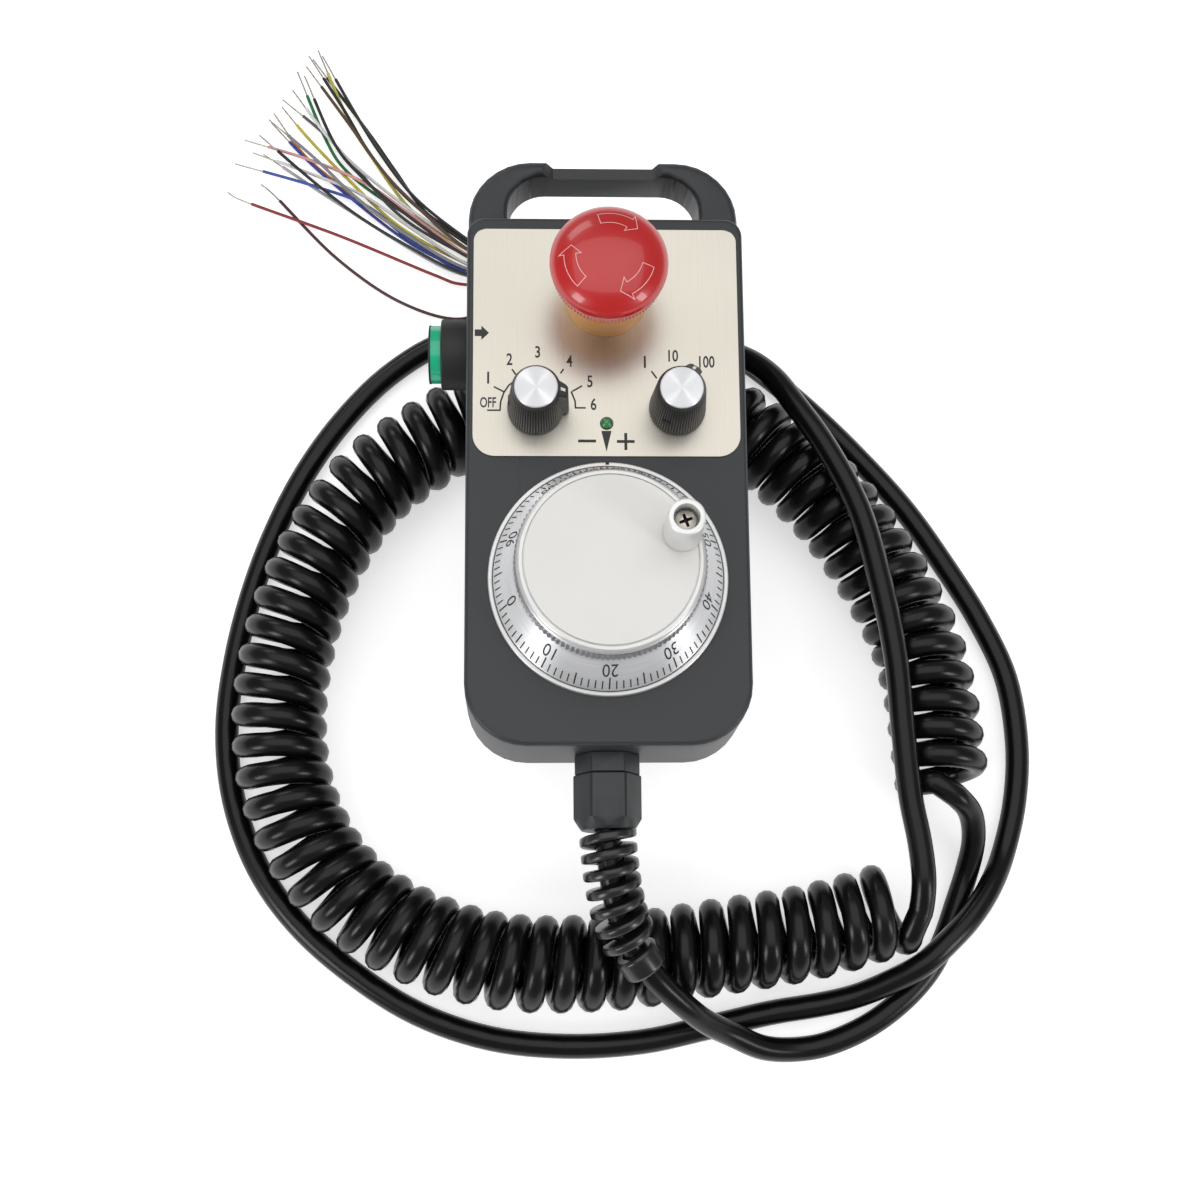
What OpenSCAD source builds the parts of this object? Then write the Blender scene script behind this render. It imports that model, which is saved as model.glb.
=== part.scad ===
// Hand-held manual pulse generator pendant.
// The origin lies on the table, straight under the axis of the handwheel.
// +X points right, +Y points to the handle loop and +Z points out of the face.
// The pendant lies level on its own curly cable.

/* [Housing] */
// Width of the housing
body_w = 71.5; // [69:0.5:78]
// From the handwheel axis down to the lower edge
body_down = 41.9; // [40:0.1:48]
// From the handwheel axis up to the upper edge
body_up = 96.8; // [94:0.1:104]
// Depth from the face to the back
body_d = 32.2; // [31:0.1:38]
// Corner radius at the lower end
corner_low = 15.5; // [10:0.5:18]
// Corner radius at the upper end
corner_top = 4.5; // [3.5:0.5:7]
// Wall thickness of both shells
wall = 2.5; // [2:0.1:3]
// Depth of the front shell
front_d = 6.5; // [5.5:0.1:6.6]
// Rounding of the front edge
front_edge = 1.2; // [0.6:0.1:1.8]
// Rounding of the back edge
back_edge = 3; // [1.5:0.5:4]
// Height of the raised rest land on the back
land_h = 0.4; // [0.2:0.1:0.8]
// Half width of the rest land
land_half_w = 22; // [14:1:26]

/* [Handle loop] */
// How far the loop rises above the housing
loop_up = 20.9; // [20:0.1:30]
// Depth of the loop
loop_d = 15; // [12:0.5:18]
// From the face down to the front of the loop
loop_drop = 10; // [7.5:0.5:12]
// Outer corner radius of the loop
loop_r = 16.5; // [12:0.5:20]
// Width of each side bar
loop_side = 10.2; // [8:0.1:13]
// Thickness of the grip bar
loop_bar = 4.3; // [3.6:0.1:6]
// How far the grip bar is waisted on its outside
grip_dip = 1.2; // [0.4:0.1:1.4]
// Depth of the hollow in the front of the grip bar
grip_hollow = 2.7; // [1:0.1:4]
// Half length of the hollow at its floor
grip_half = 13.3; // [8:0.1:15]

/* [Legend plate] */
// Width of the plate
plate_w = 68; // [60:0.5:69]
// Lower edge of the plate above the handwheel axis
plate_low = 31.8; // [31:0.1:36]
// Upper edge of the plate above the handwheel axis
plate_high = 93.3; // [90:0.1:93.4]
// Thickness of the plate
plate_t = 0.5; // [0.3:0.1:1]

/* [Handwheel] */
// Radius of the fixed bezel
bezel_r = 30; // [29.5:0.1:30.5]
// Width of the bezel's raised rim
rim_w = 1.15; // [0.8:0.05:1.5]
// Height of the rim above the face
rim_h = 1.5; // [1.2:0.1:2.5]
// Height of the cone with the graduations
cone_h = 11.5; // [9:0.5:13]
// Radius of the knurled drum
drum_r = 23.6; // [22.5:0.1:24.4]
// Height of the knurled band
knurl_h = 4.6; // [3:0.1:7]
// Number of knurls round the drum
knurl_count = 110; // [60:1:130]
// Depth of each knurl
knurl_depth = 0.55; // [0.3:0.05:0.8]
// Radius of the silver face disc
disc_r = 21.1; // [18:0.1:21.3]
// Thickness of the face disc
disc_t = 0.8; // [0.5:0.1:1.2]

/* [Crank] */
// Distance of the crank from the handwheel axis
crank_at = 18.3; // [12:0.1:18.4]
// Angle of the crank at rest, from +X
crank_angle = 20.4; // [-180:0.1:180]
// Radius of the crank sleeve at its top
crank_r = 4.5; // [4:0.1:5.5]
// Height of the crank sleeve
crank_h = 14.5; // [11:0.5:20]
// Depth of the recess for the screw head
crank_recess = 6; // [4:0.5:8]

/* [Encoder] */
// Radius of the encoder behind the panel
encoder_r = 20.5; // [17:0.5:20.5]
// Depth of the encoder behind its flange
encoder_d = 16; // [13:0.5:18]
// Radius of the shaft
shaft_r = 3; // [2.5:0.1:3.5]
// Outer radius of the two ball bearings
bearing_r = 6.5; // [5.5:0.1:7]
// Width of a ball bearing
bearing_w = 5; // [3:0.5:5]

/* [Emergency stop] */
// Centre of the emergency stop above the handwheel axis
estop_y = 74.5; // [73:0.1:76]
// Largest radius of the mushroom head
head_r = 14.7; // [13:0.1:17]
// Height of the crown of the head above the face
head_top = 30; // [28:0.5:34]
// Height of the lower rim of the head above the face
head_low = 19; // [18:0.1:21]
// Travel of the push
estop_travel = 4; // [2:0.1:4.5]
// Radius of the yellow collar at the plate
collar_r = 10.75; // [10:0.05:12]
// Radius of the yellow collar at its top
collar_top_r = 12.5; // [11:0.1:13]
// Radius of the threaded bushing
bushing_r = 8; // [7.5:0.1:8.5]

/* [Selectors] */
// Distance of each selector from the middle
selector_x = 18; // [17.5:0.1:19]
// Selectors above the handwheel axis
selector_y = 44.5; // [44:0.1:46]
// Radius of a selector knob at its base
knob_r = 7.3; // [7:0.1:8.5]
// Radius of a selector knob at its top
knob_top_r = 6.15; // [5.8:0.05:7]
// Height of a selector knob
knob_h = 16; // [13:0.5:20]
// Number of ribs round a knob
knob_ribs = 36; // [20:1:44]
// Angle of the axis pointer at rest
axis_pointer = 0; // [0:1:180]
// Angle of the multiplier pointer at rest
multiplier_pointer = 60; // [0:1:180]
// Radius of a selector's switch body
switch_r = 12; // [9:0.5:12]
// Depth of a selector's switch body
switch_d = 14; // [11:0.5:15]

/* [Lamp] */
// Lamp above the handwheel axis
lamp_y = 40.5; // [39:0.1:42]
// Radius of the lamp
lamp_r = 1.5; // [1:0.1:2]

/* [Enable button] */
// Enable button above the handwheel axis
enable_y = 64.7; // [64:0.1:68]
// Centre line of the button and of the gland behind the face
side_drop = 16; // [15.8:0.1:17]
// Radius of the collar
enable_collar_r = 9.3; // [9:0.1:9.4]
// How far the collar stands out
enable_collar_h = 7; // [5:0.1:9]
// Radius of the green button
enable_r = 7.7; // [6.5:0.1:8]
// How far the button stands out of the wall
enable_out = 10.2; // [9:0.1:13]
// Travel of the button
enable_travel = 2.5; // [1.5:0.1:3]

/* [Cable gland] */
// Width across flats of the gland's base
gland_flats = 14.4; // [13.4:0.1:15.4]
// Length of the gland's base
gland_base = 5.1; // [4:0.1:7]
// Width across flats of the dome nut
dome_flats = 15.4; // [14:0.1:16.4]
// Length of the dome nut
dome_len = 14; // [12:0.5:15]
// Outer radius of the spiral strain relief
relief_r = 7.25; // [6:0.05:7.4]
// Turns of the spiral
relief_turns = 6.5; // [4:0.5:7]
// Thickness of the spiral's ribbon
ribbon_t = 2.2; // [1.4:0.1:2.6]

/* [Cable] */
// Diameter of the cable
cable_d = 6.5; // [6:0.1:6.6]
// Outer diameter of the curly stretch
coil_od = 25.5; // [24:0.1:25.6]
// Diameter of a lead wire
wire_d = 0.95; // [0.6:0.05:0.95]

/* [Fits] */
// Gap between pieces that move past each other
gap = 0.3; // [0.2:0.05:0.4]
// Radial clearance of a shaft in its bearing
run_fit = 0.04; // [0.02:0.01:0.08]
// Radial clearance of a bushing in its panel hole
panel_fit = 0.15; // [0.05:0.05:0.3]

/* [Hidden] */
$fn = 64;

lie_gap = 0.3;
back_z = coil_od + lie_gap;
face_z = back_z + body_d;
split_z = face_z - front_d;
panel_z = face_z - wall;
floor_z = back_z + wall;
plate_z = face_z + plate_t;
axis_z = face_z - side_drop;
hull_fn = 32;
slice = 0.01;
eps = 0.5;

// ---------------------------------------------------------------- outlines

// The housing's outline, drawn in by an inset.
module plan(inset = 0) {
    x = body_w / 2 - inset;
    y0 = inset - body_down;
    y1 = body_up - inset;
    low = max(corner_low - inset, 0.5);
    top = max(corner_top - inset, 0.5);
    polygon([[low - x, y0], [x - low, y0], [x, y0 + low], [x, y1 - top],
        [x - top, y1], [top - x, y1], [-x, y1 - top], [-x, y0 + low]]);
    for (side = [-1, 1]) {
        translate([side * (x - low), y0 + low]) circle(low);
        translate([side * (x - top), y1 - top]) circle(top);
    }
}

// A rectangle with round corners, about the Y axis.
module round_rect(half, y0, y1, r_low, r_top) {
    polygon([[r_low - half, y0], [half - r_low, y0], [half, y0 + r_low], [half, y1 - r_top],
        [half - r_top, y1], [r_top - half, y1], [-half, y1 - r_top], [-half, y0 + r_low]]);
    for (side = [-1, 1]) {
        translate([side * (half - r_low), y0 + r_low]) circle(r_low);
        translate([side * (half - r_top), y1 - r_top]) circle(r_top);
    }
}

// A flat-sided ring or disc along Z.
module ring(outer, inner, z0, z1) {
    translate([0, 0, z0]) difference() {
        cylinder(r = outer, h = z1 - z0);
        if (inner > 0) translate([0, 0, -eps]) cylinder(r = inner, h = z1 - z0 + 2 * eps);
    }
}

// A hexagon along Z, given across its flats, with a round bore.
module hex_ring(flats, inner, z0, z1) {
    translate([0, 0, z0]) difference() {
        cylinder(d = flats / cos(30), h = z1 - z0, $fn = 6);
        if (inner > 0) translate([0, 0, -eps]) cylinder(r = inner, h = z1 - z0 + 2 * eps);
    }
}

// The outline of a wheel with straight-sided teeth.
module toothed(outer, inner, count) {
    polygon([for (i = [0 : 2 * count - 1])
        let (r = i % 2 == 0 ? outer : inner) [r * cos(180 * i / count), r * sin(180 * i / count)]]);
}

// Puts a child that is drawn along +Z onto an axis that leaves the left wall.
module on_left_wall() {
    translate([-body_w / 2, enable_y, axis_z]) rotate([0, -90, 0]) children();
}

// Puts a child that is drawn along +Z onto the gland's axis, with a flat up.
module on_gland() {
    translate([0, -body_down, axis_z]) rotate([90, 0, 0]) children();
}

// ---------------------------------------------------------------- housing

boss_r = 3.3;
screw_r = 1.5;
screw_head_r = 2.8;
screw_head_h = 1.8;
screw_sunk = 3;
screw_grip = 3.4;
boss_x = body_w / 2 - wall - boss_r - 0.2;
boss_spots = [for (side = [-1, 1]) each [
    [side * (boss_x - 4.2), 11.2 - body_down],
    [side * boss_x, body_up - wall - boss_r - 0.2]]];
tongue_w = 1.1;
tongue_h = 1;
groove_in = (wall - tongue_w) / 2;

module rounded_front() {
    hull() {
        translate([0, 0, split_z]) linear_extrude(loop_slice_h) plan($fn = hull_fn);
        for (a = [0, 30, 60, 90])
            translate([0, 0, face_z - front_edge * (1 - sin(a)) - loop_slice_h])
                linear_extrude(loop_slice_h) plan(front_edge * (1 - cos(a)), $fn = hull_fn);
    }
}

module rounded_back() {
    hull() {
        translate([0, 0, split_z - slice]) linear_extrude(slice) plan($fn = hull_fn);
        for (a = [0, 30, 60, 90])
            translate([0, 0, back_z + back_edge * (1 - sin(a))])
                linear_extrude(slice) plan(back_edge * (1 - cos(a)), $fn = hull_fn);
    }
}

module front_shell() {
    color("#26282a") difference() {
        union() {
            difference() {
                rounded_front();
                translate([0, 0, split_z - eps]) linear_extrude(front_d - wall + eps) plan(wall);
            }
            for (p = boss_spots)
                translate([p.x, p.y, split_z]) cylinder(r = boss_r, h = front_d - wall + slice);
        }
        for (p = boss_spots)
            translate([p.x, p.y, split_z - eps]) cylinder(r = screw_r, h = screw_grip + 2 * eps);
        translate([0, 0, split_z]) cylinder(r = neck_r + panel_fit, h = front_d + eps);
        for (a = stud_angles)
            rotate(a) translate([stud_at, 0, split_z]) cylinder(r = stud_r + panel_fit, h = front_d + eps);
        translate([0, estop_y, split_z]) cylinder(r = bushing_r + panel_fit, h = front_d + eps);
        for (side = [-1, 1])
            translate([side * selector_x, selector_y, split_z])
                cylinder(r = selector_bush_r + panel_fit, h = front_d + eps);
        translate([0, lamp_y, split_z]) cylinder(r = lamp_r + run_fit, h = front_d + eps);
    }
}

loop_top_z = face_z - loop_drop;
loop_edge = 2;
loop_slice_h = 0.1;
loop_half = body_w / 2;
loop_y1 = body_up + loop_up;
hole_half = loop_half - loop_side;
hole_y0 = body_up + 0.4;
hole_y1 = loop_y1 - loop_bar;
hole_r = 10;

// One slice of the loop's outside, drawn in by an inset.
module loop_slice(inset) {
    linear_extrude(loop_slice_h)
        round_rect(loop_half - inset, body_up - 12, loop_y1 - inset, 3, loop_r - inset, $fn = hull_fn);
}

// One slice of the finger hole, opened out by a flare.
module hole_slice(flare) {
    round_rect(hole_half + flare, hole_y0 - min(flare, 0.3), hole_y1 + flare, 5 + flare, hole_r + flare);
}

module loop_solid() {
    hull() for (a = [0, 45, 90]) {
        drop = loop_edge * (1 - sin(a));
        inset = loop_edge * (1 - cos(a));
        translate([0, 0, loop_top_z - drop - loop_slice_h]) loop_slice(inset);
        translate([0, 0, loop_top_z - loop_d + drop]) loop_slice(inset);
    }
}

// The finger hole is straight in the middle and opens out towards both faces.
module finger_hole() {
    flare = 1.2;
    translate([0, 0, loop_top_z - loop_d - eps]) linear_extrude(loop_d + 2 * eps) hole_slice(0);
    translate([0, 0, loop_top_z - loop_d / 2]) for (up = [0, 1]) mirror([0, 0, 1 - up])
        hull() for (a = [0, 45, 90])
            translate([0, 0, loop_d / 2 - flare * (1 - sin(a))])
                linear_extrude(slice) hole_slice(flare * (1 - cos(a)), $fn = hull_fn);
}

// The grip bar is hollowed in front and waisted on its outside, both with sloped ends.
module grip_cut() {
    ramp = 3.5;
    translate([0, 0, loop_top_z - loop_d - eps]) linear_extrude(loop_d + 2 * eps)
        polygon([[-grip_half, loop_y1 - grip_dip], [grip_half, loop_y1 - grip_dip],
            [grip_half + ramp, loop_y1 + eps], [-grip_half - ramp, loop_y1 + eps]]);
    translate([0, loop_y1 + eps, 0]) rotate([90, 0, 0]) linear_extrude(loop_bar + 4 + 2 * eps)
        polygon([[-grip_half, loop_top_z - grip_hollow], [grip_half, loop_top_z - grip_hollow],
            [grip_half + ramp, loop_top_z + eps], [-grip_half - ramp, loop_top_z + eps]]);
}

board_post_h = 2.7;
board_half = 20;
board_y0 = 26;
board_y1 = 58;
post_in = 3.5;

module rear_shell() {
    post_spots = [for (side = [-1, 1]) for (y = [board_y0 + post_in, board_y1 - post_in])
        [side * (board_half - post_in), y]];
    color("#232527") difference() {
        union() {
            difference() {
                union() {
                    rounded_back();
                    difference() {
                        loop_solid();
                        finger_hole();
                        grip_cut();
                    }
                }
                translate([0, 0, floor_z]) linear_extrude(body_d) plan(wall);
            }
            for (p = boss_spots)
                translate([p.x, p.y, back_z + slice]) cylinder(r = boss_r, h = body_d - front_d - slice);
            for (p = post_spots)
                translate([p.x, p.y, floor_z - slice]) cylinder(r = 2.2, h = board_post_h + slice);
            translate([0, 0, back_z - land_h]) linear_extrude(land_h + slice)
                round_rect(land_half_w, 6 - body_down, plate_low + 4.2, 6, 6);
        }
        for (p = boss_spots) {
            translate([p.x, p.y, back_z - eps]) cylinder(r = screw_head_r + panel_fit, h = screw_sunk + eps);
            translate([p.x, p.y, back_z]) cylinder(r = screw_r + panel_fit, h = body_d);
        }
        translate([0, 0, split_z - tongue_h]) linear_extrude(tongue_h + eps) difference() {
            plan(groove_in);
            plan(groove_in + tongue_w);
        }
        on_left_wall() translate([0, 0, -wall - eps]) cylinder(r = enable_bush_r + panel_fit, h = wall + 2 * eps);
        on_gland() translate([0, 0, -wall - eps]) cylinder(r = gland_thread_r + panel_fit, h = wall + 2 * eps);
    }
}

module case_gasket() {
    clear = 0.05;
    color("#111111") translate([0, 0, split_z - tongue_h]) linear_extrude(tongue_h) difference() {
        plan(groove_in + clear);
        plan(groove_in + tongue_w - clear);
    }
}

// A cross recess, cut down from z = 0.
module cross_recess(size, depth) {
    for (a = [0, 90])
        rotate(a) translate([-size / 2, -size / 8, -depth]) cube([size, size / 4, depth + eps]);
}

module case_screws() {
    seat = back_z + screw_sunk;
    color("silver") for (p = boss_spots) translate([p.x, p.y, seat]) difference() {
        union() {
            translate([0, 0, -screw_head_h]) cylinder(r = screw_head_r, h = screw_head_h);
            cylinder(r = screw_r, h = split_z - seat + screw_grip);
        }
        translate([0, 0, -screw_head_h]) rotate([180, 0, 0]) cross_recess(3, 0.9);
    }
}

module legend_plate() {
    color("#c9c5bd") translate([0, 0, face_z]) linear_extrude(plate_t) difference() {
        round_rect(plate_w / 2, plate_low, plate_high, 5.7, 3.3);
        translate([0, estop_y]) circle(bushing_r + panel_fit);
        for (side = [-1, 1])
            translate([side * selector_x, selector_y]) circle(selector_bush_r + panel_fit);
        translate([0, lamp_y]) circle(lamp_r + run_fit);
    }
}

// ---------------------------------------------------------------- handwheel

bezel_t = 0.5;
neck_r = bearing_r + 1.5;
stud_r = 1.5;
stud_at = encoder_r + 3.4;
stud_angles = [30, 150, 270];
stud_nut_h = 2.4;
flange_t = 2;
flange_r = stud_at + 3;
dial_r = bezel_r - rim_w - 0.2;
dial_low = face_z + bezel_t + gap;
dial_lip = 0.8;
cone_top = dial_low + dial_lip + cone_h;
skin = 1.5;
drum_top = cone_top + knurl_h;
disc_low = drum_top + 2.1;
disc_top = disc_low + disc_t;
hub_r = 7;
hub_low = face_z + 1.5 + gap;

module dial_bezel() {
    color("#d8d8d8") union() {
        ring(bezel_r, neck_r + panel_fit, face_z, face_z + bezel_t);
        ring(bezel_r, bezel_r - rim_w, face_z, face_z + rim_h);
        for (a = stud_angles)
            rotate(a) translate([stud_at, 0, panel_z - flange_t - stud_nut_h - 1])
                cylinder(r = stud_r, h = wall + flange_t + stud_nut_h + 1 + slice);
    }
}

module graduated_dial() {
    color("#d4d6d8") rotate_extrude() polygon([
        [shaft_r, hub_low], [hub_r, hub_low], [hub_r, cone_top - skin - 0.5],
        [drum_r - skin, cone_top - skin - 0.5], [dial_r - skin, dial_low + dial_lip], [dial_r - skin, dial_low],
        [dial_r, dial_low], [dial_r, dial_low + dial_lip], [drum_r + 0.15, cone_top - 0.4],
        [drum_r - knurl_depth, cone_top], [shaft_r, cone_top]]);
}

module knurled_drum() {
    shoulder_r = disc_r + 1.5;
    inner_r = disc_r - 1.5;
    rim_top = drum_top + 2.1;
    round_r = shoulder_r - disc_r;
    neck = drum_r - knurl_depth - 0.2;
    color("#cfd1d3") difference() {
        union() {
            translate([0, 0, cone_top]) linear_extrude(knurl_h)
                toothed(drum_r, drum_r - knurl_depth, knurl_count);
            rotate_extrude() polygon(concat(
                [[0, drum_top - 1], [disc_r, drum_top - 1], [disc_r, drum_top], [neck, drum_top],
                    [neck, drum_top + 0.3], [shoulder_r, drum_top + 0.9]],
                [for (a = [0 : 15 : 90])
                    [disc_r + 0.1 + (round_r - 0.1) * cos(a), rim_top - round_r + 0.3 + round_r * sin(a)]],
                [[0, rim_top + 0.3]]));
        }
        ring(inner_r, 0, cone_top - eps, drum_top);
        ring(disc_r + 0.1, 0, disc_low, rim_top + 2);
        rotate(crank_angle) translate([crank_at, 0, cone_top])
            cylinder(r = crank_pin_r, h = drum_top);
    }
}

module face_disc() {
    color("#ecebe8") difference() {
        ring(disc_r, 0, disc_low, disc_top);
        rotate(crank_angle) translate([crank_at, 0, disc_low - eps]) cylinder(r = crank_pin_r + panel_fit, h = 3);
    }
}

crank_low = disc_top + gap;
crank_top = crank_low + crank_h;
crank_pin_r = 2;
crank_seat = crank_top - crank_recess;
crank_base_r = crank_r + 0.25;
crank_hole_r = crank_r - 1.4;

module crank_sleeve() {
    edge = 0.5;
    color("#dedede") rotate(crank_angle) translate([crank_at, 0, 0]) rotate_extrude() polygon([
        [crank_pin_r + run_fit, crank_low], [crank_base_r, crank_low], [crank_r, crank_top - edge],
        [crank_r - edge, crank_top], [crank_hole_r, crank_top], [crank_hole_r, crank_seat],
        [crank_pin_r + run_fit, crank_seat]]);
}

module crank_screw() {
    head_h = 2.2;
    foot = drum_top + slice;
    color("silver") rotate(crank_angle) translate([crank_at, 0, 0]) difference() {
        union() {
            translate([0, 0, foot]) cylinder(r = crank_pin_r, h = crank_seat + gap - foot + slice);
            translate([0, 0, crank_seat + gap]) cylinder(r = crank_hole_r - gap, h = head_h);
        }
        translate([0, 0, crank_seat + gap + head_h]) cross_recess(3, 1.2);
    }
}

// ---------------------------------------------------------------- encoder

encoder_low = panel_z - flange_t - encoder_d;
neck_top = face_z + 1.5;
shaft_low = encoder_low + 3;
upper_bearing = neck_top - bearing_w;
lower_bearing = upper_bearing - bearing_w - 1;
cavity_r = encoder_r - 1.5;
code_z = panel_z - flange_t - 9;
board_z = encoder_low + 1.2;

module encoder_shaft() {
    color("silver") ring(shaft_r, 0, shaft_low, cone_top);
}

module shaft_bearings() {
    color("#b8bcc0") for (z = [upper_bearing, lower_bearing])
        ring(bearing_r, shaft_r + run_fit, z, z + bearing_w);
}

module encoder_body() {
    color("#2b2d30") difference() {
        union() {
            ring(neck_r, 0, panel_z - flange_t - 4, neck_top);
            ring(flange_r, 0, panel_z - flange_t, panel_z);
            ring(encoder_r, 0, encoder_low, panel_z);
        }
        ring(bearing_r, 0, lower_bearing, neck_top + eps);
        ring(shaft_r + 1, 0, encoder_low, neck_top);
        difference() {
            ring(cavity_r, 0, encoder_low - eps, panel_z - flange_t);
            ring(neck_r, 0, lower_bearing - 1.5, panel_z);
        }
        for (a = stud_angles)
            rotate(a) translate([stud_at, 0, panel_z - flange_t - eps])
                cylinder(r = stud_r + panel_fit, h = flange_t + 2 * eps);
    }
}

module code_disc() {
    slots = 25;
    color("#9aa0a6") difference() {
        union() {
            ring(cavity_r - 3, shaft_r, code_z, code_z + 0.6);
            ring(shaft_r + 2, shaft_r, code_z - 2, code_z + slice);
        }
        for (i = [0 : slots - 1])
            rotate(i * 360 / slots) translate([cavity_r - 6, -0.5, code_z - eps]) cube([2, 1, 2]);
    }
}

module encoder_board() {
    plug_w = 0.6 * cavity_r;
    color("#1f5a36") union() {
        ring(cavity_r - 0.1, 0, board_z - 1.6 + 0.4, board_z + 0.4);
        translate([-plug_w / 2, -0.8 * cavity_r, board_z + 0.4 - slice]) cube([plug_w, 5, 2]);
    }
}

module encoder_nuts() {
    color("silver") for (a = stud_angles)
        rotate(a) translate([stud_at, 0, 0])
            hex_ring(5, stud_r, panel_z - flange_t - stud_nut_h, panel_z - flange_t);
}

// ---------------------------------------------------------------- emergency stop

collar_top = face_z + head_low - estop_travel - gap;
head_low_z = face_z + head_low;
neck_bore = 4;
head_neck_r = bushing_r - 0.2;
head_neck_low = face_z + head_low - 7.5;
head_under = head_low_z + 2;
pivot_h = 3;
stem_flange_r = 6.4;
stem_flange_h = 2.5;
bush_top = min(face_z + 4, head_neck_low - estop_travel - gap);
bush_low = panel_z - 7.5;
bush_floor = bush_low + 2;
spring_r = 5.3;
spring_wire = 0.6;
estop_body_low = bush_low - 6;
stem_low = estop_body_low - 0.5;

module at_estop() {
    translate([0, estop_y, 0]) children();
}

module estop_head() {
    widest_z = head_low_z + 4.3;
    rib_h = 2.6;
    crown = face_z + head_top - widest_z;
    color("#d01c20") at_estop() difference() {
        union() {
            rotate_extrude() polygon(concat(
                [[0, head_under], [head_r - 2.4, head_under], [head_r - 2, head_low_z],
                    [head_r - 0.7, head_low_z], [head_r - 0.7, head_low_z + rib_h],
                    [head_r - 0.25, head_low_z + rib_h + 0.3]],
                [for (a = [0 : 9 : 81]) [head_r * cos(a), widest_z + crown * sin(a)]],
                [[0, widest_z + crown]]));
            translate([0, 0, head_low_z + 0.3]) linear_extrude(rib_h) difference() {
                toothed(head_r - 0.3, head_r - 0.7, 60);
                circle(head_r - 1.5);
            }
        }
        ring(neck_bore + run_fit, 0, head_under - eps, head_under + pivot_h + gap);
    }
}

module estop_collar() {
    color("#e2a21b") at_estop() rotate_extrude() polygon([
        [bushing_r + panel_fit, plate_z], [collar_r, plate_z], [collar_r, plate_z + 3],
        [collar_top_r - 0.6, collar_top - 1], [collar_top_r, collar_top - 0.6], [collar_top_r - 0.2, collar_top],
        [bushing_r + panel_fit, collar_top]]);
}

// The head turns on the pivot at the stem's top end; the wide neck under it only slides.
module estop_stem() {
    color("#a91a1d") at_estop() union() {
        ring(neck_bore, 0, stem_low, head_under + pivot_h);
        ring(stem_flange_r, 0, head_neck_low - gap - stem_flange_h, head_neck_low + slice);
        ring(head_neck_r, 0, head_neck_low, head_under - run_fit);
    }
}

// A closed coil spring along Z, swept with a square wire.
module spring(radius, wire, z0, z1, turns) {
    steps = 16;
    count = turns * steps;
    rise = z1 - z0 - wire * 2;
    corners = [[-1, -1], [1, -1], [1, 1], [-1, 1]];
    points = [for (i = [0 : count]) for (c = corners)
        let (a = 360 * i / steps, r = radius + c.x * wire)
        [r * cos(a), r * sin(a), z0 + wire + rise * i / count + c.y * wire]];
    faces = concat(
        [[3, 2, 1, 0]],
        [for (i = [0 : count - 1]) for (k = [0 : 3])
            [i * 4 + k, i * 4 + (k + 1) % 4, (i + 1) * 4 + (k + 1) % 4, (i + 1) * 4 + k]],
        [[for (k = [0 : 3]) count * 4 + k]]);
    polyhedron(points, faces);
}

module estop_spring() {
    color("#c0c0c0") at_estop()
        spring(spring_r, spring_wire, bush_floor + 0.05, head_neck_low - gap - stem_flange_h - 0.05, 5);
}

module estop_bushing() {
    color("#303236") at_estop() difference() {
        union() {
            ring(bushing_r, 0, bush_low, bush_top);
            ring(bushing_r + 1, 0, estop_body_low, bush_low + slice);
        }
        ring(stem_flange_r + gap, 0, bush_floor, bush_top + eps);
        ring(neck_bore + gap, 0, estop_body_low - eps, bush_top);
    }
}

module estop_nut() {
    color("#8a8d90") at_estop() hex_ring(2.5 * bushing_r, bushing_r, panel_z - 2.8, panel_z);
}

module estop_contacts() {
    half = 8.5;
    h = 7;
    color("#b52a2a") at_estop() difference() {
        union() {
            translate([-half, -half, estop_body_low - h]) cube([2 * half, 2 * half, h]);
            for (side = [-1, 1]) translate([side * 5 - 0.4, -1.5, estop_body_low - h - 3])
                cube([0.8, 3, 3 + slice]);
        }
        ring(neck_bore + gap, 0, estop_body_low - estop_travel - 1, estop_body_low + eps);
    }
}

// ---------------------------------------------------------------- selectors

selector_bush_r = 4;
selector_nut_r = 5.8;
selector_nut_h = 2;
knob_low = plate_z + gap;
knob_top = knob_low + knob_h;
cap_r = knob_top_r - 0.7;
cap_t = 0.5;
pointer_reach = knob_r + 1.1;
set_screw_z = knob_low + 6;

module at_selector(side, angle = 0) {
    translate([side * selector_x, selector_y, 0]) rotate(angle) children();
}

module selector_knob(side, angle) {
    rib = 0.35;
    fin_root = 2.6;
    fin_tip = 1.3;
    at_selector(side, angle) difference() {
        union() {
            translate([0, 0, knob_low]) linear_extrude(knob_h - 0.8, scale = knob_top_r / knob_r)
                toothed(knob_r, knob_r - rib, knob_ribs);
            ring(knob_top_r - rib, 0, knob_top - 1, knob_top);
            intersection() {
                translate([0, 3, 0]) rotate([90, 0, 0]) linear_extrude(6) polygon([
                    [knob_top_r - 1.5, knob_low + 0.2], [pointer_reach, knob_low + 0.2],
                    [pointer_reach - 0.4, knob_low + 12.4], [pointer_reach - 0.8, knob_low + 13.2],
                    [knob_top_r - 0.5, knob_low + 15.3], [knob_top_r - 1.5, knob_low + 15.3]]);
                linear_extrude(2 * knob_top)
                    polygon([[4, -fin_root], [9, -fin_tip], [9, fin_tip], [4, fin_root]]);
            }
        }
        ring(selector_nut_r + gap, 0, knob_low - eps, plate_z + selector_nut_h + gap);
        ring(selector_bush_r + gap, 0, knob_low - eps, plate_z + selector_nut_h + 1 + gap);
        ring(shaft_r, 0, knob_low - eps, knob_top - 3);
        translate([0, 0, set_screw_z]) rotate([0, -90, 0]) cylinder(r = 1.5, h = knob_r + eps);
        ring(cap_r, 0, knob_top - cap_t + 0.1, knob_top + eps);
    }
}

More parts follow.
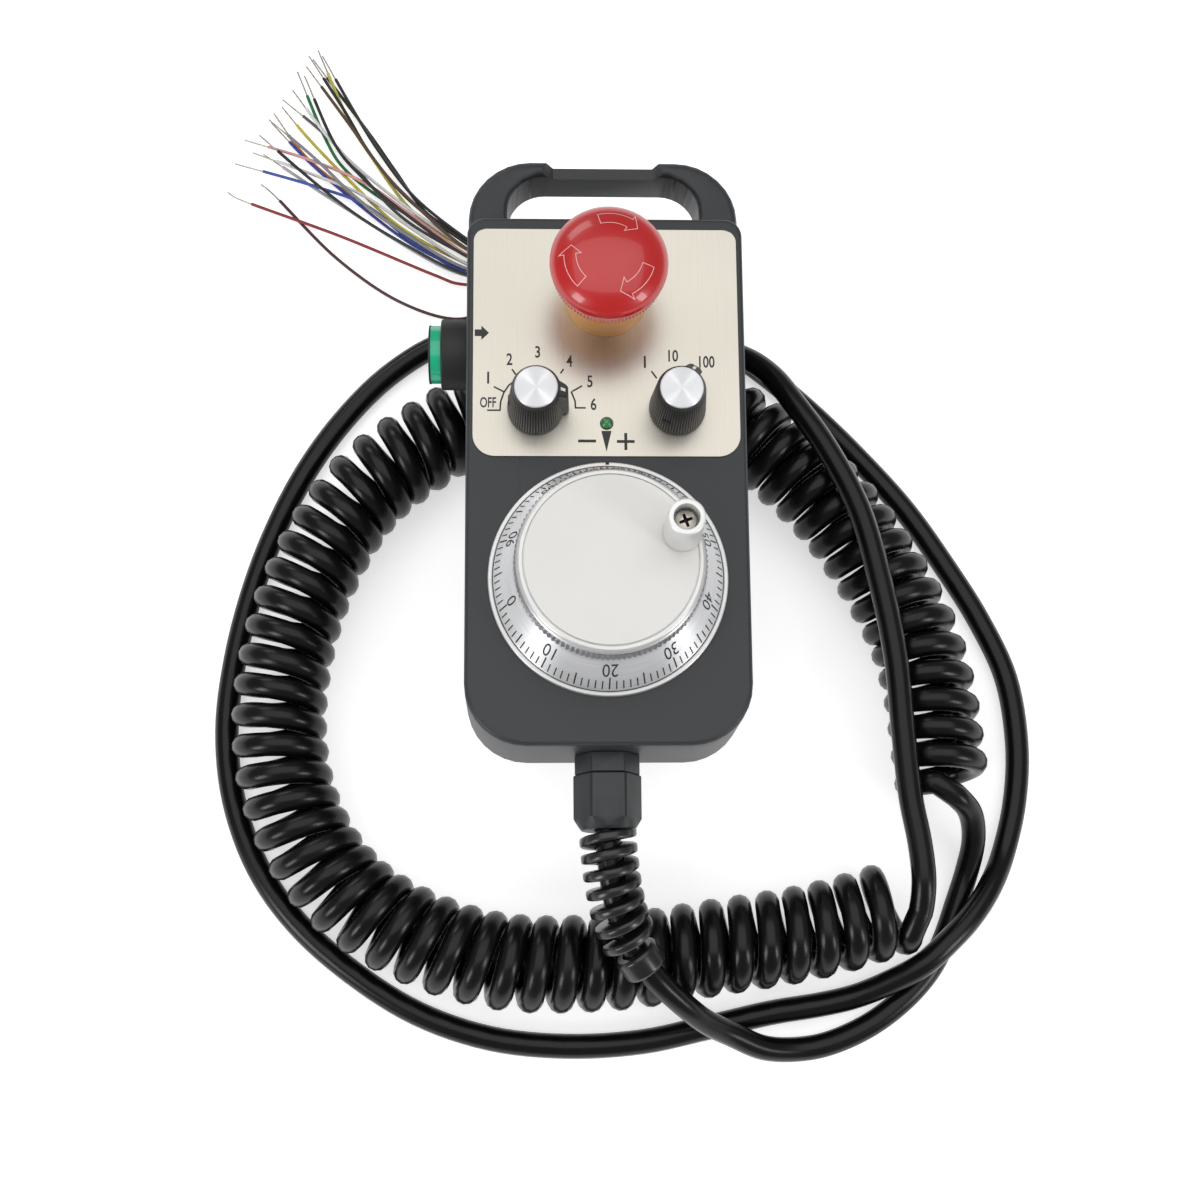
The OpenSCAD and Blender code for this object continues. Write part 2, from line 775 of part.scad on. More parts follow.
module selector_cap(side) {
    at_selector(side) rotate_extrude() polygon([[0, knob_top - cap_t + 0.1], [cap_r, knob_top - cap_t + 0.1],
        [cap_r, knob_top], [cap_r - 0.3, knob_top + 0.25], [0, knob_top + 0.25]]);
}

module selector_set_screw(side, angle) {
    tip = shaft_r;
    at_selector(side, angle) translate([0, 0, set_screw_z]) rotate([0, -90, 0]) difference() {
        translate([0, 0, tip]) cylinder(r = 1.5, h = 3.2);
        translate([-1, -0.2, tip + 2.6]) cube([2, 0.4, 2]);
    }
}

module selector_shaft(side) {
    at_selector(side) ring(shaft_r, 0, panel_z - 8, knob_top - 3);
}

module selector_switch(side) {
    at_selector(side) difference() {
        union() {
            ring(switch_r, 0, panel_z - switch_d, panel_z);
            ring(selector_bush_r, 0, panel_z - 1, plate_z + selector_nut_h + 0.8);
            for (i = [0 : 7]) rotate(i * 45 + 20)
                translate([switch_r - 3, -0.8, panel_z - switch_d - 2.5]) cube([0.6, 1.6, 2.5 + slice]);
        }
        ring(shaft_r + run_fit, 0, panel_z - 8.3, knob_top);
    }
}

module selector_nut(side) {
    at_selector(side) difference() {
        ring(selector_nut_r, selector_bush_r, plate_z, plate_z + selector_nut_h);
        for (a = [0, 90]) rotate(a)
            translate([-selector_nut_r - 1, -0.5, plate_z + selector_nut_h - 0.7])
                cube([selector_nut_r * 2 + 2, 1, 1]);
    }
}

module axis_knob() { color("#1c1d1f") selector_knob(-1, axis_pointer); }
module axis_cap() { color("#e4e6e8") selector_cap(-1); }
module axis_set_screw() { color("#303030") selector_set_screw(-1, axis_pointer); }
module axis_shaft() { color("silver") selector_shaft(-1); }
module axis_switch() { color("#3b3f44") selector_switch(-1); }
module axis_nut() { color("silver") selector_nut(-1); }
module multiplier_knob() { color("#1c1d1f") selector_knob(1, multiplier_pointer); }
module multiplier_cap() { color("#e4e6e8") selector_cap(1); }
module multiplier_set_screw() { color("#303030") selector_set_screw(1, multiplier_pointer); }
module multiplier_shaft() { color("silver") selector_shaft(1); }
module multiplier_switch() { color("#3b3f44") selector_switch(1); }
module multiplier_nut() { color("silver") selector_nut(1); }

// ---------------------------------------------------------------- lamp

module lamp_lens() {
    foot = panel_z - 2.5;
    color("#3a8f4a") translate([0, lamp_y, 0]) union() {
        ring(lamp_r, 0, foot, plate_z + 0.4);
        translate([0, 0, plate_z + 0.4]) intersection() {
            sphere(lamp_r);
            translate([0, 0, lamp_r]) cube(2 * lamp_r, center = true);
        }
    }
}

module lamp_holder() {
    color("#202020") translate([0, lamp_y, 0]) ring(lamp_r + 1.3, lamp_r, panel_z - 5, panel_z);
}

// ---------------------------------------------------------------- enable button

enable_bush_r = 6;
enable_stem_r = 3;
enable_spring_r = 3.9;
enable_wire = 0.4;
enable_body_h = 14;
enable_nut_h = 2.6;
enable_pocket = 4.6;
button_low = enable_travel + gap + 0.05;

module enable_collar() {
    bore = enable_r + gap;
    color("#1b1c1e") on_left_wall() rotate_extrude() polygon([
        [bore, 0], [enable_collar_r, 0], [enable_collar_r, enable_collar_h - 0.8],
        [enable_collar_r - 0.8, enable_collar_h], [bore, enable_collar_h]]);
}

module enable_button() {
    edge = 0.6;
    color("#1fbf74") on_left_wall() rotate_extrude() polygon([
        [0, -enable_pocket + 0.2 + enable_travel], [enable_stem_r, -enable_pocket + 0.2 + enable_travel],
        [enable_stem_r, button_low], [enable_r, button_low], [enable_r, enable_out - edge],
        [enable_r - edge, enable_out], [0, enable_out]]);
}

module enable_spring() {
    color("silver") on_left_wall()
        spring(enable_spring_r, enable_wire, 0.05 - enable_pocket, button_low - 0.05, 4);
}

module enable_switch() {
    color("#2e3034") on_left_wall() difference() {
        union() {
            ring(enable_bush_r, 0, -wall - enable_nut_h - slice, 0);
            ring(enable_bush_r + 1, 0, -wall - enable_nut_h - enable_body_h, -wall - enable_nut_h);
        }
        ring(enable_spring_r + enable_wire + gap, 0, -enable_pocket, eps);
    }
}

module enable_nut() {
    color("silver") on_left_wall() hex_ring(14, enable_bush_r, -wall - enable_nut_h, -wall);
}

// ---------------------------------------------------------------- cable gland

gland_thread_r = 6.2;
cable_r = cable_d / 2;
gland_bore = cable_r + 0.3;
gland_tail = 6;
locknut_h = 3;
seal_r = 5;
seal_len = 5;
body_end = gland_base + 7;
dome_mouth = gland_base + dome_len;

module gland_body() {
    color("#17181a") on_gland() difference() {
        union() {
            hex_ring(gland_flats, 0, 0, gland_base);
            ring(gland_thread_r, 0, -wall - gland_tail, body_end);
        }
        ring(gland_bore, 0, -wall - gland_tail - eps, body_end + eps);
        ring(seal_r, 0, body_end - seal_len, body_end + eps);
    }
}

module gland_locknut() {
    color("#17181a") on_gland() hex_ring(14, gland_thread_r, -wall - locknut_h, -wall);
}

module gland_seal() {
    color("#0c0c0c") on_gland() ring(seal_r, gland_bore, body_end - seal_len, body_end);
}

// Helpers for everything that follows a route: a smooth curve through all of its points.
function unit(v) = v / norm(v);
function curve_at(p, t) =
    let (n = len(p) - 1, i = min(floor(t), n - 1), u = t - i,
        b = p[i], c = p[i + 1],
        a = i > 0 ? p[i - 1] : 2 * b - c,
        d = i < n - 1 ? p[i + 2] : 2 * c - b)
    0.5 * (2 * b + (c - a) * u + (2 * a - 5 * b + 4 * c - d) * u * u + (3 * b - a - 3 * c + d) * u * u * u);
function heading_at(p, t) =
    let (n = len(p) - 1) unit(curve_at(p, min(t + 0.02, n)) - curve_at(p, max(t - 0.02, 0)));
function across(h) = unit(cross([0, 0, 1], h));
function lifted(p, z) = [p.x, p.y, max(p.z, z)];

// A tube through the route, whose lowest flat side touches the table where its centre is one radius up.
module tube(route, r, sides, per = 1) {
    n = (len(route) - 1) * per;
    rr = r / cos(180 / sides);
    points = [for (i = [0 : n])
        let (c = lifted(curve_at(route, i / per), r), h = heading_at(route, i / per),
            x = across(h), y = cross(h, x))
        for (k = [0 : sides - 1])
            let (a = 360 * (k + 0.5) / sides) c + rr * (cos(a) * x + sin(a) * y)];
    faces = concat(
        [[for (k = [0 : sides - 1]) sides - 1 - k]],
        [for (i = [0 : n - 1]) for (k = [0 : sides - 1])
            [i * sides + k, i * sides + (k + 1) % sides, (i + 1) * sides + (k + 1) % sides, (i + 1) * sides + k]],
        [[for (k = [0 : sides - 1]) n * sides + k]]);
    polyhedron(points, faces);
}

mouth = [0, -body_down - gland_base - dome_len, axis_z];
lead_route = concat([for (p = [[0, 21, 0], [0, 11, 0], [0, 0, 0], [0.5, -7, -0.7], [1.5, -14, -2.5],
    [3.2, -21, -5], [5.8, -27, -8], [9, -32, -10.7], [14, -37.5, -13.4]]) mouth + p], [
    [20, -103.5, 23.5], [26, -107.5, 17], [33, -110.5, 11], [42, -114, 6.5], [52, -114.5, 3.6],
    [61, -112.5, 3.25], [71, -108, 3.25], [80, -101.5, 3.25], [87, -94, 3.25], [91.5, -86, 3.25],
    [95, -77, 3.6], [98, -68, 5.4], [99.3, -60, 9.8], [97.5, -53.5, 15.4], [92.6, -49.5, 21]]);

// The relief hangs from the nut's mouth and ends in a round collar.
relief_route = [for (i = [2 : 7]) lead_route[i]];
relief_in = gland_bore;

module relief_spiral() {
    steps = 22;
    count = ceil(relief_turns * steps);
    end_t = len(relief_route) - 1.15;
    start_t = 0.05;
    inner = relief_in;
    points = [for (i = [0 : count])
        let (t = start_t + (end_t - start_t) * i / count, c = curve_at(relief_route, t),
            h = heading_at(relief_route, t), x = across(h), y = cross(h, x), a = -360 * i / steps,
            out = cos(a) * x + sin(a) * y)
        for (q = [[inner, -1], [relief_r, -0.75], [relief_r, 0.75], [inner, 1]])
            c + q[0] * out + q[1] * ribbon_t / 2 * h];
    faces = concat(
        [[0, 1, 2, 3]],
        [for (i = [0 : count - 1]) for (k = [0 : 3])
            [(i + 1) * 4 + k, (i + 1) * 4 + (k + 1) % 4, i * 4 + (k + 1) % 4, i * 4 + k]],
        [[for (k = [0 : 3]) count * 4 + 3 - k]]);
    polyhedron(points, faces);
}

module relief_collar() {
    t = len(relief_route) - 1;
    c = curve_at(relief_route, t);
    h = heading_at(relief_route, t - 0.1);
    translate(c) rotate([0, 0, atan2(h.y, h.x)]) rotate([0, 90 - asin(h.z), 0]) rotate_extrude() polygon([
        [relief_in, -4], [relief_r - 2.4, -4], [relief_r - 1.8, -3.2], [relief_r - 1.8, 1.4],
        [relief_r - 2.3, 2], [relief_in, 2]]);
}

module spiral_relief() {
    chamfer = 1.6;
    color("#141517") {
        on_gland() difference() {
            union() {
                hex_ring(dome_flats, 0, gland_base, dome_mouth - chamfer);
                translate([0, 0, dome_mouth - chamfer])
                    cylinder(r1 = dome_flats / 2, r2 = relief_r - 0.6, h = chamfer);
            }
            ring(gland_bore, 0, gland_base - eps, dome_mouth + eps);
            ring(gland_thread_r, 0, gland_base - eps, body_end);
        }
        relief_spiral();
        relief_collar();
    }
}

// ---------------------------------------------------------------- inside

module terminal_board() {
    board_t = 1.6;
    low = floor_z + board_post_h;
    block_h = 4;
    color("#1f5a36") union() {
        translate([-board_half, board_y0, low]) cube([2 * board_half, board_y1 - board_y0, board_t]);
        for (x = [-12, 2])
            translate([x, board_y0 + 10, low + board_t - slice]) cube([10, 6, block_h]);
    }
}

// ---------------------------------------------------------------- cable

coil_route = [for (p = [[91, -46], [88, -17], [81, 4], [65, 30], [44, 50], [22, 61], [0, 65], [-24, 61],
    [-45, 51], [-66, 34], [-80, 8], [-86, -20], [-84, -45], [-74, -66], [-57, -81], [-30, -91],
    [0, -92], [31, -88], [56, -84], [78, -78]]) [p.x, p.y, coil_od / 2]];

tail_route = [[82.2, -80, 20], [82.8, -72, 23.2], [82, -62, 23.8], [80, -50, 24.4], [78.5, -33, 26],
    [77, -14, 28.2], [73.5, 6, 29.4], [68.5, 26, 29.8], [60.5, 43.5, 28.6], [52.5, 57, 26.2], [47, 66, 22.8],
    [40, 73, 18.2], [30, 78, 12], [17, 82.5, 7.5], [2, 85, 4.2], [-15, 85.5, 3.25], [-32, 85, 3.25],
    [-46, 81.5, 3.25], [-60, 72, 3.25], [-72, 59, 3.25], [-82, 44, 3.25], [-90, 27, 3.25], [-96, 9, 3.25],
    [-100, -10, 3.25], [-101.5, -29, 3.25], [-99, -48, 3.25], [-92, -66, 3.25], [-81, -81, 3.25],
    [-66, -94, 3.25], [-49, -104.5, 3.25], [-30, -111, 3.25], [-10, -113.2, 3.25], [10, -112.2, 3.25],
    [28, -108.5, 3.25], [44, -105, 3.25], [57, -103, 3.25], [67, -100.8, 4.2], [76, -97.2, 7.5],
    [84, -93, 10.7], [91, -87, 11.3], [97.5, -80.5, 10.3], [103.5, -72.5, 7.8], [108.5, -63, 4],
    [112.5, -49, 3.25], [114, -33, 3.25], [112, -15, 3.25], [105.5, 1, 3.25], [97, 16, 3.25],
    [86, 33, 3.25], [73, 48.5, 3.25], [59, 63, 3.25], [44, 76, 3.25], [27, 87.5, 3.25], [9, 95, 3.25], [-7, 98, 3.25], [-22, 102, 3.25]];

// Each lead wire leaves the sheath's end in one of four layers, at its own place in the layer.
// Row: layer, place in the layer, then the points that it passes on the table.
wire_routes = [
    [0, -1.5, [-38, 91], [-56, 95.5], [-75, 109], [-93, 128], [-97.5, 132]],
    [0, -0.5, [-39, 105.5], [-60, 120], [-72.5, 130], [-85, 141], [-94.5, 154.5]],
    [0, 0.5, [-39, 113], [-60, 126], [-72.5, 136], [-79, 146], [-88, 168]],
    [0, 1.5, [-39, 116], [-50, 124], [-59, 137], [-67, 149], [-83.5, 172]],
    [1, -2.5, [-39, 101], [-47.5, 104], [-74, 115.5], [-101.5, 126], [-107, 129]],
    [1, -1.5, [-39, 104], [-52, 110.5], [-77, 127], [-87, 134], [-97, 141]],
    [1, -0.5, [-39, 106], [-54, 113.5], [-72, 128], [-84, 139], [-95, 151]],
    [1, 0.5, [-39, 108], [-57, 118.5], [-72, 133], [-84, 146], [-92, 156]],
    [1, 1.5, [-39, 110.5], [-57, 122], [-71, 138], [-80, 148], [-92, 158.5]],
    [1, 2.5, [-39, 112.5], [-54, 124], [-66, 141], [-73, 153], [-82, 174.5]],
    [2, -2.5, [-39, 104.5], [-54, 114], [-66.5, 124.5], [-81.5, 130.5], [-105, 137.5]],
    [2, -1.5, [-39, 107.5], [-54, 118], [-68, 128], [-83, 134.5], [-100, 141]],
    [2, -0.5, [-39, 110.5], [-54, 122], [-67, 131.5], [-82.5, 138.5], [-102.5, 145]],
    [2, 0.5, [-39, 112.5], [-56, 125], [-70, 137], [-79, 147], [-89, 161]],
    [2, 1.5, [-39, 114], [-55, 127], [-66, 141], [-74, 155], [-84.5, 172]],
    [2, 2.5, [-39, 115.5], [-53, 127.5], [-63, 141], [-71, 154.5], [-80.5, 172]],
    [3, -1.5, [-39, 103.5], [-55, 112], [-69, 121], [-82, 131.5], [-98, 146]],
    [3, -0.5, [-39, 105.5], [-56, 116], [-70, 127], [-82, 139], [-95.5, 151]],
    [3, 0.5, [-39, 109.5], [-57, 123], [-68.5, 133.5], [-76.5, 144], [-85.5, 165]],
    [3, 1.5, [-39, 112], [-56, 128], [-65, 139], [-72, 149.5], [-85, 168]]];
sheath_end = tail_route[len(tail_route) - 1];
sheath_heading = heading_at(tail_route, len(tail_route) - 1);
layer_h = wire_d * 1.1;
wire_straight = 4;

function wire_route(w) =
    let (side = across(sheath_heading), z = wire_d / 2 + w[0] * layer_h,
        start = sheath_end - w[1] * layer_h * side + [0, 0, (w[0] - 1.5) * layer_h])
    concat([start, start + wire_straight * sheath_heading], [for (i = [2 : len(w) - 1]) [w[i].x, w[i].y, z]]);

module cable_lead() { color("#101113") tube(lead_route, cable_r, 10); }
module cable_coil() { color("#101113") tube(coil_route, coil_od / 2, 16, 2); }
module cable_tail() { color("#101113") tube(tail_route, cable_r, 10); }
module lead_wires() { color("#a8503c") for (w = wire_routes) tube(wire_route(w), wire_d / 2, 8); }

// ---------------------------------------------------------------- what is drawn

front_shell();
rear_shell();
case_gasket();
case_screws();
legend_plate();
dial_bezel();
graduated_dial();
knurled_drum();
face_disc();
crank_sleeve();
crank_screw();
encoder_shaft();
shaft_bearings();
encoder_body();
code_disc();
encoder_board();
encoder_nuts();
estop_head();
estop_collar();
estop_stem();
estop_spring();
estop_bushing();
estop_nut();
estop_contacts();
axis_knob();
axis_cap();
axis_set_screw();
axis_shaft();
axis_switch();
axis_nut();
multiplier_knob();
multiplier_cap();
multiplier_set_screw();
multiplier_shaft();
multiplier_switch();
multiplier_nut();
lamp_lens();
lamp_holder();
enable_collar();
enable_button();
enable_spring();
enable_switch();
enable_nut();
gland_body();
gland_locknut();
gland_seal();
spiral_relief();
terminal_board();
cable_lead();
cable_coil();
cable_tail();
lead_wires();
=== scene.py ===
import math
import bmesh
import bpy
from mathutils import Euler, Matrix, Vector


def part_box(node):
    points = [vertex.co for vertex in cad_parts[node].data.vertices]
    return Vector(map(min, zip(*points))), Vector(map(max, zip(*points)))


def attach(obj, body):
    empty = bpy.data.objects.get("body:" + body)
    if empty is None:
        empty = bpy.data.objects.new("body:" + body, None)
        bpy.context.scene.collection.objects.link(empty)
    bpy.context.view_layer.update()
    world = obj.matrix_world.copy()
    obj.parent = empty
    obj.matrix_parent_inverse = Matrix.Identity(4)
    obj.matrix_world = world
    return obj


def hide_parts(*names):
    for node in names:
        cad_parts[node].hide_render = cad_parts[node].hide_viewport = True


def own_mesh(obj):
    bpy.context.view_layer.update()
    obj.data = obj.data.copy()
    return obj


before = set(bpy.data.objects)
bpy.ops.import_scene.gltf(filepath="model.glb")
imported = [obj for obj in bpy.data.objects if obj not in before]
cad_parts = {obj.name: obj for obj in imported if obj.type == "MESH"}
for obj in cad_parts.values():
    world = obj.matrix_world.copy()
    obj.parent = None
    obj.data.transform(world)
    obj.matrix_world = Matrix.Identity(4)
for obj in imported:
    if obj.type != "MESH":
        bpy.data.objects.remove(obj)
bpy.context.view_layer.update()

# ---------------------------------------------------------------- view, table and light
# The pendant lies on a white table under one large soft light from above,
# with weaker panels around it that give the plastics and metals something to mirror.
mm = 0.001
scene = bpy.context.scene
scene.view_settings.view_transform = "Standard"


def linked(name, data):
    """A new object in the scene."""
    made = bpy.data.objects.new(name, data)
    scene.collection.objects.link(made)
    return made


camera_at = Vector((-19.71, -118.26, 542.44))
camera_turn = Euler([math.radians(a) for a in (13.12074, -1.98243, -0.45263)])
camera = linked("camera", bpy.data.cameras.new("camera"))
camera.data.lens = 60.02
camera.data.sensor_width = 36
camera.data.clip_start = 0.01
camera.matrix_world = Matrix.Translation(camera_at * mm) @ camera_turn.to_matrix().to_4x4()
scene.camera = camera


class Field:
    """A value that changes over a surface; a sum or product of it adds its Math node."""

    def __init__(self, finish, socket):
        self.finish = finish
        self.socket = socket

    def worked(self, operation, other):
        return self.finish.node("Math", {"operation": operation}, {0: self, 1: other})

    def __add__(self, other):
        return self.worked("ADD", other)

    def __radd__(self, other):
        return self.worked("ADD", other)

    def __mul__(self, other):
        return self.worked("MULTIPLY", other)

    def __rmul__(self, other):
        return self.worked("MULTIPLY", other)


def paint(code):
    """A colour as the painter writes it, from a code of six digits."""
    parts = [int(code[i:i + 2], 16) / 255 for i in (0, 2, 4)]
    return (*[p / 12.92 if p < 0.04045 else ((p + 0.055) / 1.055) ** 2.4 for p in parts], 1)


class Finish:
    """One surface finish, with its fixed values set straight on the shader's own sockets."""

    def __init__(self, name, fixed):
        self.material = bpy.data.materials.new(name)
        self.material.use_nodes = True
        self.tree = self.material.node_tree
        self.shader = self.tree.nodes["Principled BSDF"]
        self.feed(fixed)

    def feed(self, values):
        for name, value in values.items():
            self.give(self.shader.inputs[name], value)

    def give(self, socket, value):
        if isinstance(value, Field):
            self.tree.links.new(value.socket, socket)
        else:
            socket.default_value = value

    def node(self, kind, settings, inputs, out=0):
        """A node: its settings come first, then the values or links of its sockets."""
        made = self.tree.nodes.new("ShaderNode" + kind)
        for name, value in settings.items():
            setattr(made, name, value)
        for name, value in inputs.items():
            self.give(made.inputs[name], value)
        return Field(self, made.outputs[out])

    def place(self, stretch=(1, 1, 1)):
        """The point on the piece, in the frame's own metres."""
        at = self.node("TexCoord", {}, {}, "Object")
        return self.node("Mapping", {}, {"Vector": at, "Scale": stretch})

    def noise(self, scale, detail=2.0, stretch=(1, 1, 1)):
        return self.node("TexNoise", {}, {"Vector": self.place(stretch), "Scale": scale, "Detail": detail})

    def blend(self, share, one, other):
        """A colour between two, by a share from 0 to 1."""
        return self.node("Mix", {"data_type": "RGBA"}, {0: share, 6: one, 7: other}, 2)

    def relief(self, height, depth):
        """A surface that stands up by a height field times a depth in metres."""
        return self.node("Bump", {}, {"Height": height, "Distance": depth, "Strength": 1.0})

    def tones(self, share, dark, pale):
        """The base colour: two tones, mixed by a share."""
        self.feed({"Base Color": self.blend(share, paint(dark), paint(pale))})

    def gloss(self, least, drift, share):
        """The roughness: a least value, and how far a share raises it."""
        self.feed({"Roughness": least + drift * share})


table_top = Finish("table_top", {"Base Color": paint("E4E4E4"), "Roughness": 0.9, "Specular IOR Level": 0.1,
                                 "Emission Color": (1, 1, 1, 1), "Emission Strength": 0.6})
table_half = 3
table_mesh = bpy.data.meshes.new("table")
table_corners = ((-1, -1), (1, -1), (1, 1), (-1, 1))
table_mesh.from_pydata([(x * table_half, y * table_half, 0) for x, y in table_corners], [], [(0, 1, 2, 3)])
table = linked("table", table_mesh)
table_mesh.materials.append(table_top.material)

world = bpy.data.worlds.new("studio")
scene.world = world
world.use_nodes = True
sky = world.node_tree.nodes
strength = sky.new("ShaderNodeMapRange")
strength.inputs["To Min"].default_value = 0.3
strength.inputs["To Max"].default_value = 1.0
ray = sky.new("ShaderNodeLightPath")
world.node_tree.links.new(ray.outputs["Is Camera Ray"], strength.inputs["Value"])
world.node_tree.links.new(strength.outputs["Result"], sky["Background"].inputs["Strength"])
sky["Background"].inputs["Color"].default_value = (1, 1, 1, 1)


def panel(name, spot, aim, width, height, power):
    """A soft panel light that faces a point."""
    data = bpy.data.lights.new(name, "AREA")
    data.shape = "RECTANGLE"
    data.size = width
    data.size_y = height
    data.energy = power
    turn = (Vector(aim) - Vector(spot)).to_track_quat("-Z", "Y")
    linked(name, data).matrix_world = Matrix.Translation(spot) @ turn.to_matrix().to_4x4()


pendant_middle = (0, 0, 0.06)
panel("panel_above", (0.0, 0.3, 1.3), (0, 0.3, 0), 1.9, 1.5, 11.5)
panel("panel_left", (-0.9, -0.7, 0.6), pendant_middle, 0.35, 0.6, 5.0)
panel("panel_right", (0.95, -0.6, 0.6), pendant_middle, 0.25, 0.6, 3.8)
panel("panel_back", (-0.5, 1.0, 0.6), pendant_middle, 0.5, 0.3, 1.5)

# ---------------------------------------------------------------- the curly cable
# One round cable in a black polyurethane sheath: a straight lead from the gland, a close
# left-handed coil moulded round a mandrel, and a straight tail with a cut end.
cable_d = 6.5
coil_turns = 67
coil_radius = 9.5
coil_first = 20
coil_last = -50
turn_steps = 12
route_steps = 6
coil_steps = 3
lead_route = [
    (0, -40, 42), (0, -50, 42), (0, -61, 42), (0.5, -68, 41.3), (1.5, -75, 39.5), (3.2, -82, 37),
    (5.8, -88, 34), (9, -93, 31.3), (14, -98.5, 28.6), (20, -103.5, 23.5), (26, -107.5, 17),
    (33, -110.5, 11), (42, -114, 6.5), (52, -114.35, 3.6), (61, -112.5, 3.25), (71, -108, 3.25),
    (80, -101.5, 3.25),
    (87, -94, 3.25), (91.5, -86, 3.25), (95, -77, 3.6), (98, -68, 5.4), (99.3, -60, 9.8),
    (97.5, -53.5, 15.4), (92.6, -49.5, 21)]
coil_route = [
    (x, y, 12.75) for x, y in (
        (91, -46), (88, -17), (81, 4), (65, 30), (44, 50), (22, 61), (0, 65), (-24, 61), (-45, 51),
        (-66, 34), (-80, 8), (-86, -20), (-84, -45), (-74, -66), (-57, -81), (-30, -91), (0, -92),
        (31, -88), (56, -84),
        (78, -78))]
tail_route = [
    (82.2, -80, 20), (82.8, -72, 23.2), (82, -62, 23.8), (80, -50, 24.4), (78.5, -33, 26),
    (77, -14, 28.2), (73.5, 6, 29.4), (68.5, 26, 29.8), (60.5, 43.5, 28.6), (52.5, 57, 26.2), (47, 66, 22.8),
    (40, 73, 18.2), (30, 78, 12), (17, 82.5, 7.5), (2, 85, 4.2), (-15, 85.5, 3.25), (-32, 85, 3.25),
    (-46, 81.5, 3.25), (-60, 72, 3.25), (-72, 59, 3.25), (-82, 44, 3.25), (-90, 27, 3.25), (-96, 9, 3.25),
    (-100, -10, 3.25), (-101.5, -29, 3.25), (-99, -48, 3.25), (-92, -66, 3.25), (-81, -81, 3.25),
    (-66, -94, 3.25), (-49, -104.5, 3.25), (-30, -111, 3.25), (-10, -113.2, 3.25), (10, -112.2, 3.25),
    (28, -108.5, 3.25), (44, -105, 3.25), (57, -103, 3.25), (67, -100.8, 4.2), (76, -97.2, 7.5),
    (84, -93, 10.7), (91, -87, 11.3), (97.5, -80.5, 10.3), (103.5, -72.5, 7.8), (108.5, -63, 4),
    (112.5, -49, 3.25), (114, -33, 3.25), (112, -15, 3.25), (105.5, 1, 3.25), (97, 16, 3.25),
    (86, 33, 3.25), (73, 48.5, 3.25), (59, 63, 3.25), (44, 76, 3.25), (27, 87.5, 3.25), (9, 95, 3.25),
    (-7, 98, 3.25), (-22, 102, 3.25)]


def through(route, steps, lowest=None):
    """A smooth line through every point of a route, with that many steps to each stretch."""
    points = [Vector(p) for p in route]
    points = [2 * points[0] - points[1], *points, 2 * points[-1] - points[-2]]
    line = []
    for a, b, c, d in zip(points, points[1:], points[2:], points[3:]):
        for i in range(steps):
            u = i / steps
            line.append(0.5 * (2 * b + (c - a) * u + (2 * a - 5 * b + 4 * c - d) * u * u
                               + (3 * b - a - 3 * c + d) * u ** 3))
    line.append(points[-2])
    if lowest is not None:
        for p in line:
            p.z = max(p.z, lowest)
    return line


def along(line, count):
    """That many places at even distances along a line, each with its heading."""
    reach = [0.0]
    for a, b in zip(line, line[1:]):
        reach.append(reach[-1] + (b - a).length)
    places = []
    i = 0
    for k in range(count):
        s = reach[-1] * k / (count - 1)
        while i < len(line) - 2 and reach[i + 1] < s:
            i += 1
        share = (s - reach[i]) / (reach[i + 1] - reach[i])
        places.append((line[i].lerp(line[i + 1], share), (line[i + 1] - line[i]).normalized()))
    return places


def wound(line, turns, radius, first, last, steps):
    """A left-handed coil round a line, from one angle to another past its whole turns."""
    count = turns * steps
    points = []
    for k, (centre, heading) in enumerate(along(line, count)):
        angle = math.radians(first) + (2 * math.pi * turns + math.radians(last - first)) * k / (count - 1)
        left = Vector((-heading.y, heading.x, 0)).normalized()
        lift = heading.cross(left)
        points.append(centre + radius * (math.cos(angle) * lift + math.sin(angle) * left))
    return points


def cord_curve(name, line, width, sides, finish):
    """A round cord on one smooth line, in millimetres."""
    data = bpy.data.curves.new(name, "CURVE")
    data.dimensions = "3D"
    data.bevel_depth = width / 2 * mm
    data.bevel_resolution = sides
    data.use_fill_caps = True
    spline = data.splines.new("POLY")
    spline.points.add(len(line) - 1)
    for point, p in zip(spline.points, line):
        point.co = (*(p * mm), 1)
    spline.use_smooth = True
    data.materials.append(finish.material)
    return linked(name, data)


def length_of(line):
    """The length of a line."""
    return sum((b - a).length for a, b in zip(line, line[1:]))


def settle(piece, body="pendant", nodes=()):
    """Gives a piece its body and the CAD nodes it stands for."""
    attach(piece, body)
    if nodes:
        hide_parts(*nodes)
    return piece


sheath = Finish("cable_sheath", {"IOR": 1.4, "Specular IOR Level": 0.4})
rubbed = sheath.noise(90.0, 3.0)
sheath.tones(rubbed, "060607", "0F0F10")
sheath.gloss(0.19, 0.16, rubbed)
sheath.feed({"Normal": sheath.relief(sheath.noise(1400.0), 0.000012)})

coil_points = wound(through(coil_route, 24), coil_turns, coil_radius, coil_first, coil_last, turn_steps)
lead_line = through([*lead_route, *coil_points[:2]], route_steps, cable_d / 2)[:-2 * route_steps]
tail_line = through([*coil_points[-2:], *tail_route], route_steps, cable_d / 2)[2 * route_steps:]
coil_line = through([lead_route[-1], *coil_points, tail_route[0]], coil_steps)[coil_steps:-coil_steps]
cable_line = lead_line + coil_line + tail_line
cable = cord_curve("cable", cable_line, cable_d, 4, sheath)
settle(cable, nodes=["cable_lead", "cable_coil", "cable_tail"])
round(length_of(cable_line) * mm, 2)

# ---------------------------------------------------------------- the lead wires
# Twenty thin stranded wires fan out of the sheath's cut end. Each has its own colour of
# insulation, and its last few millimetres are stripped to the tinned strand.
wire_d = 0.95
strand_d = wire_d * 0.5
layer_h = wire_d * 1.1
wire_straight = 4
strip_length = 7
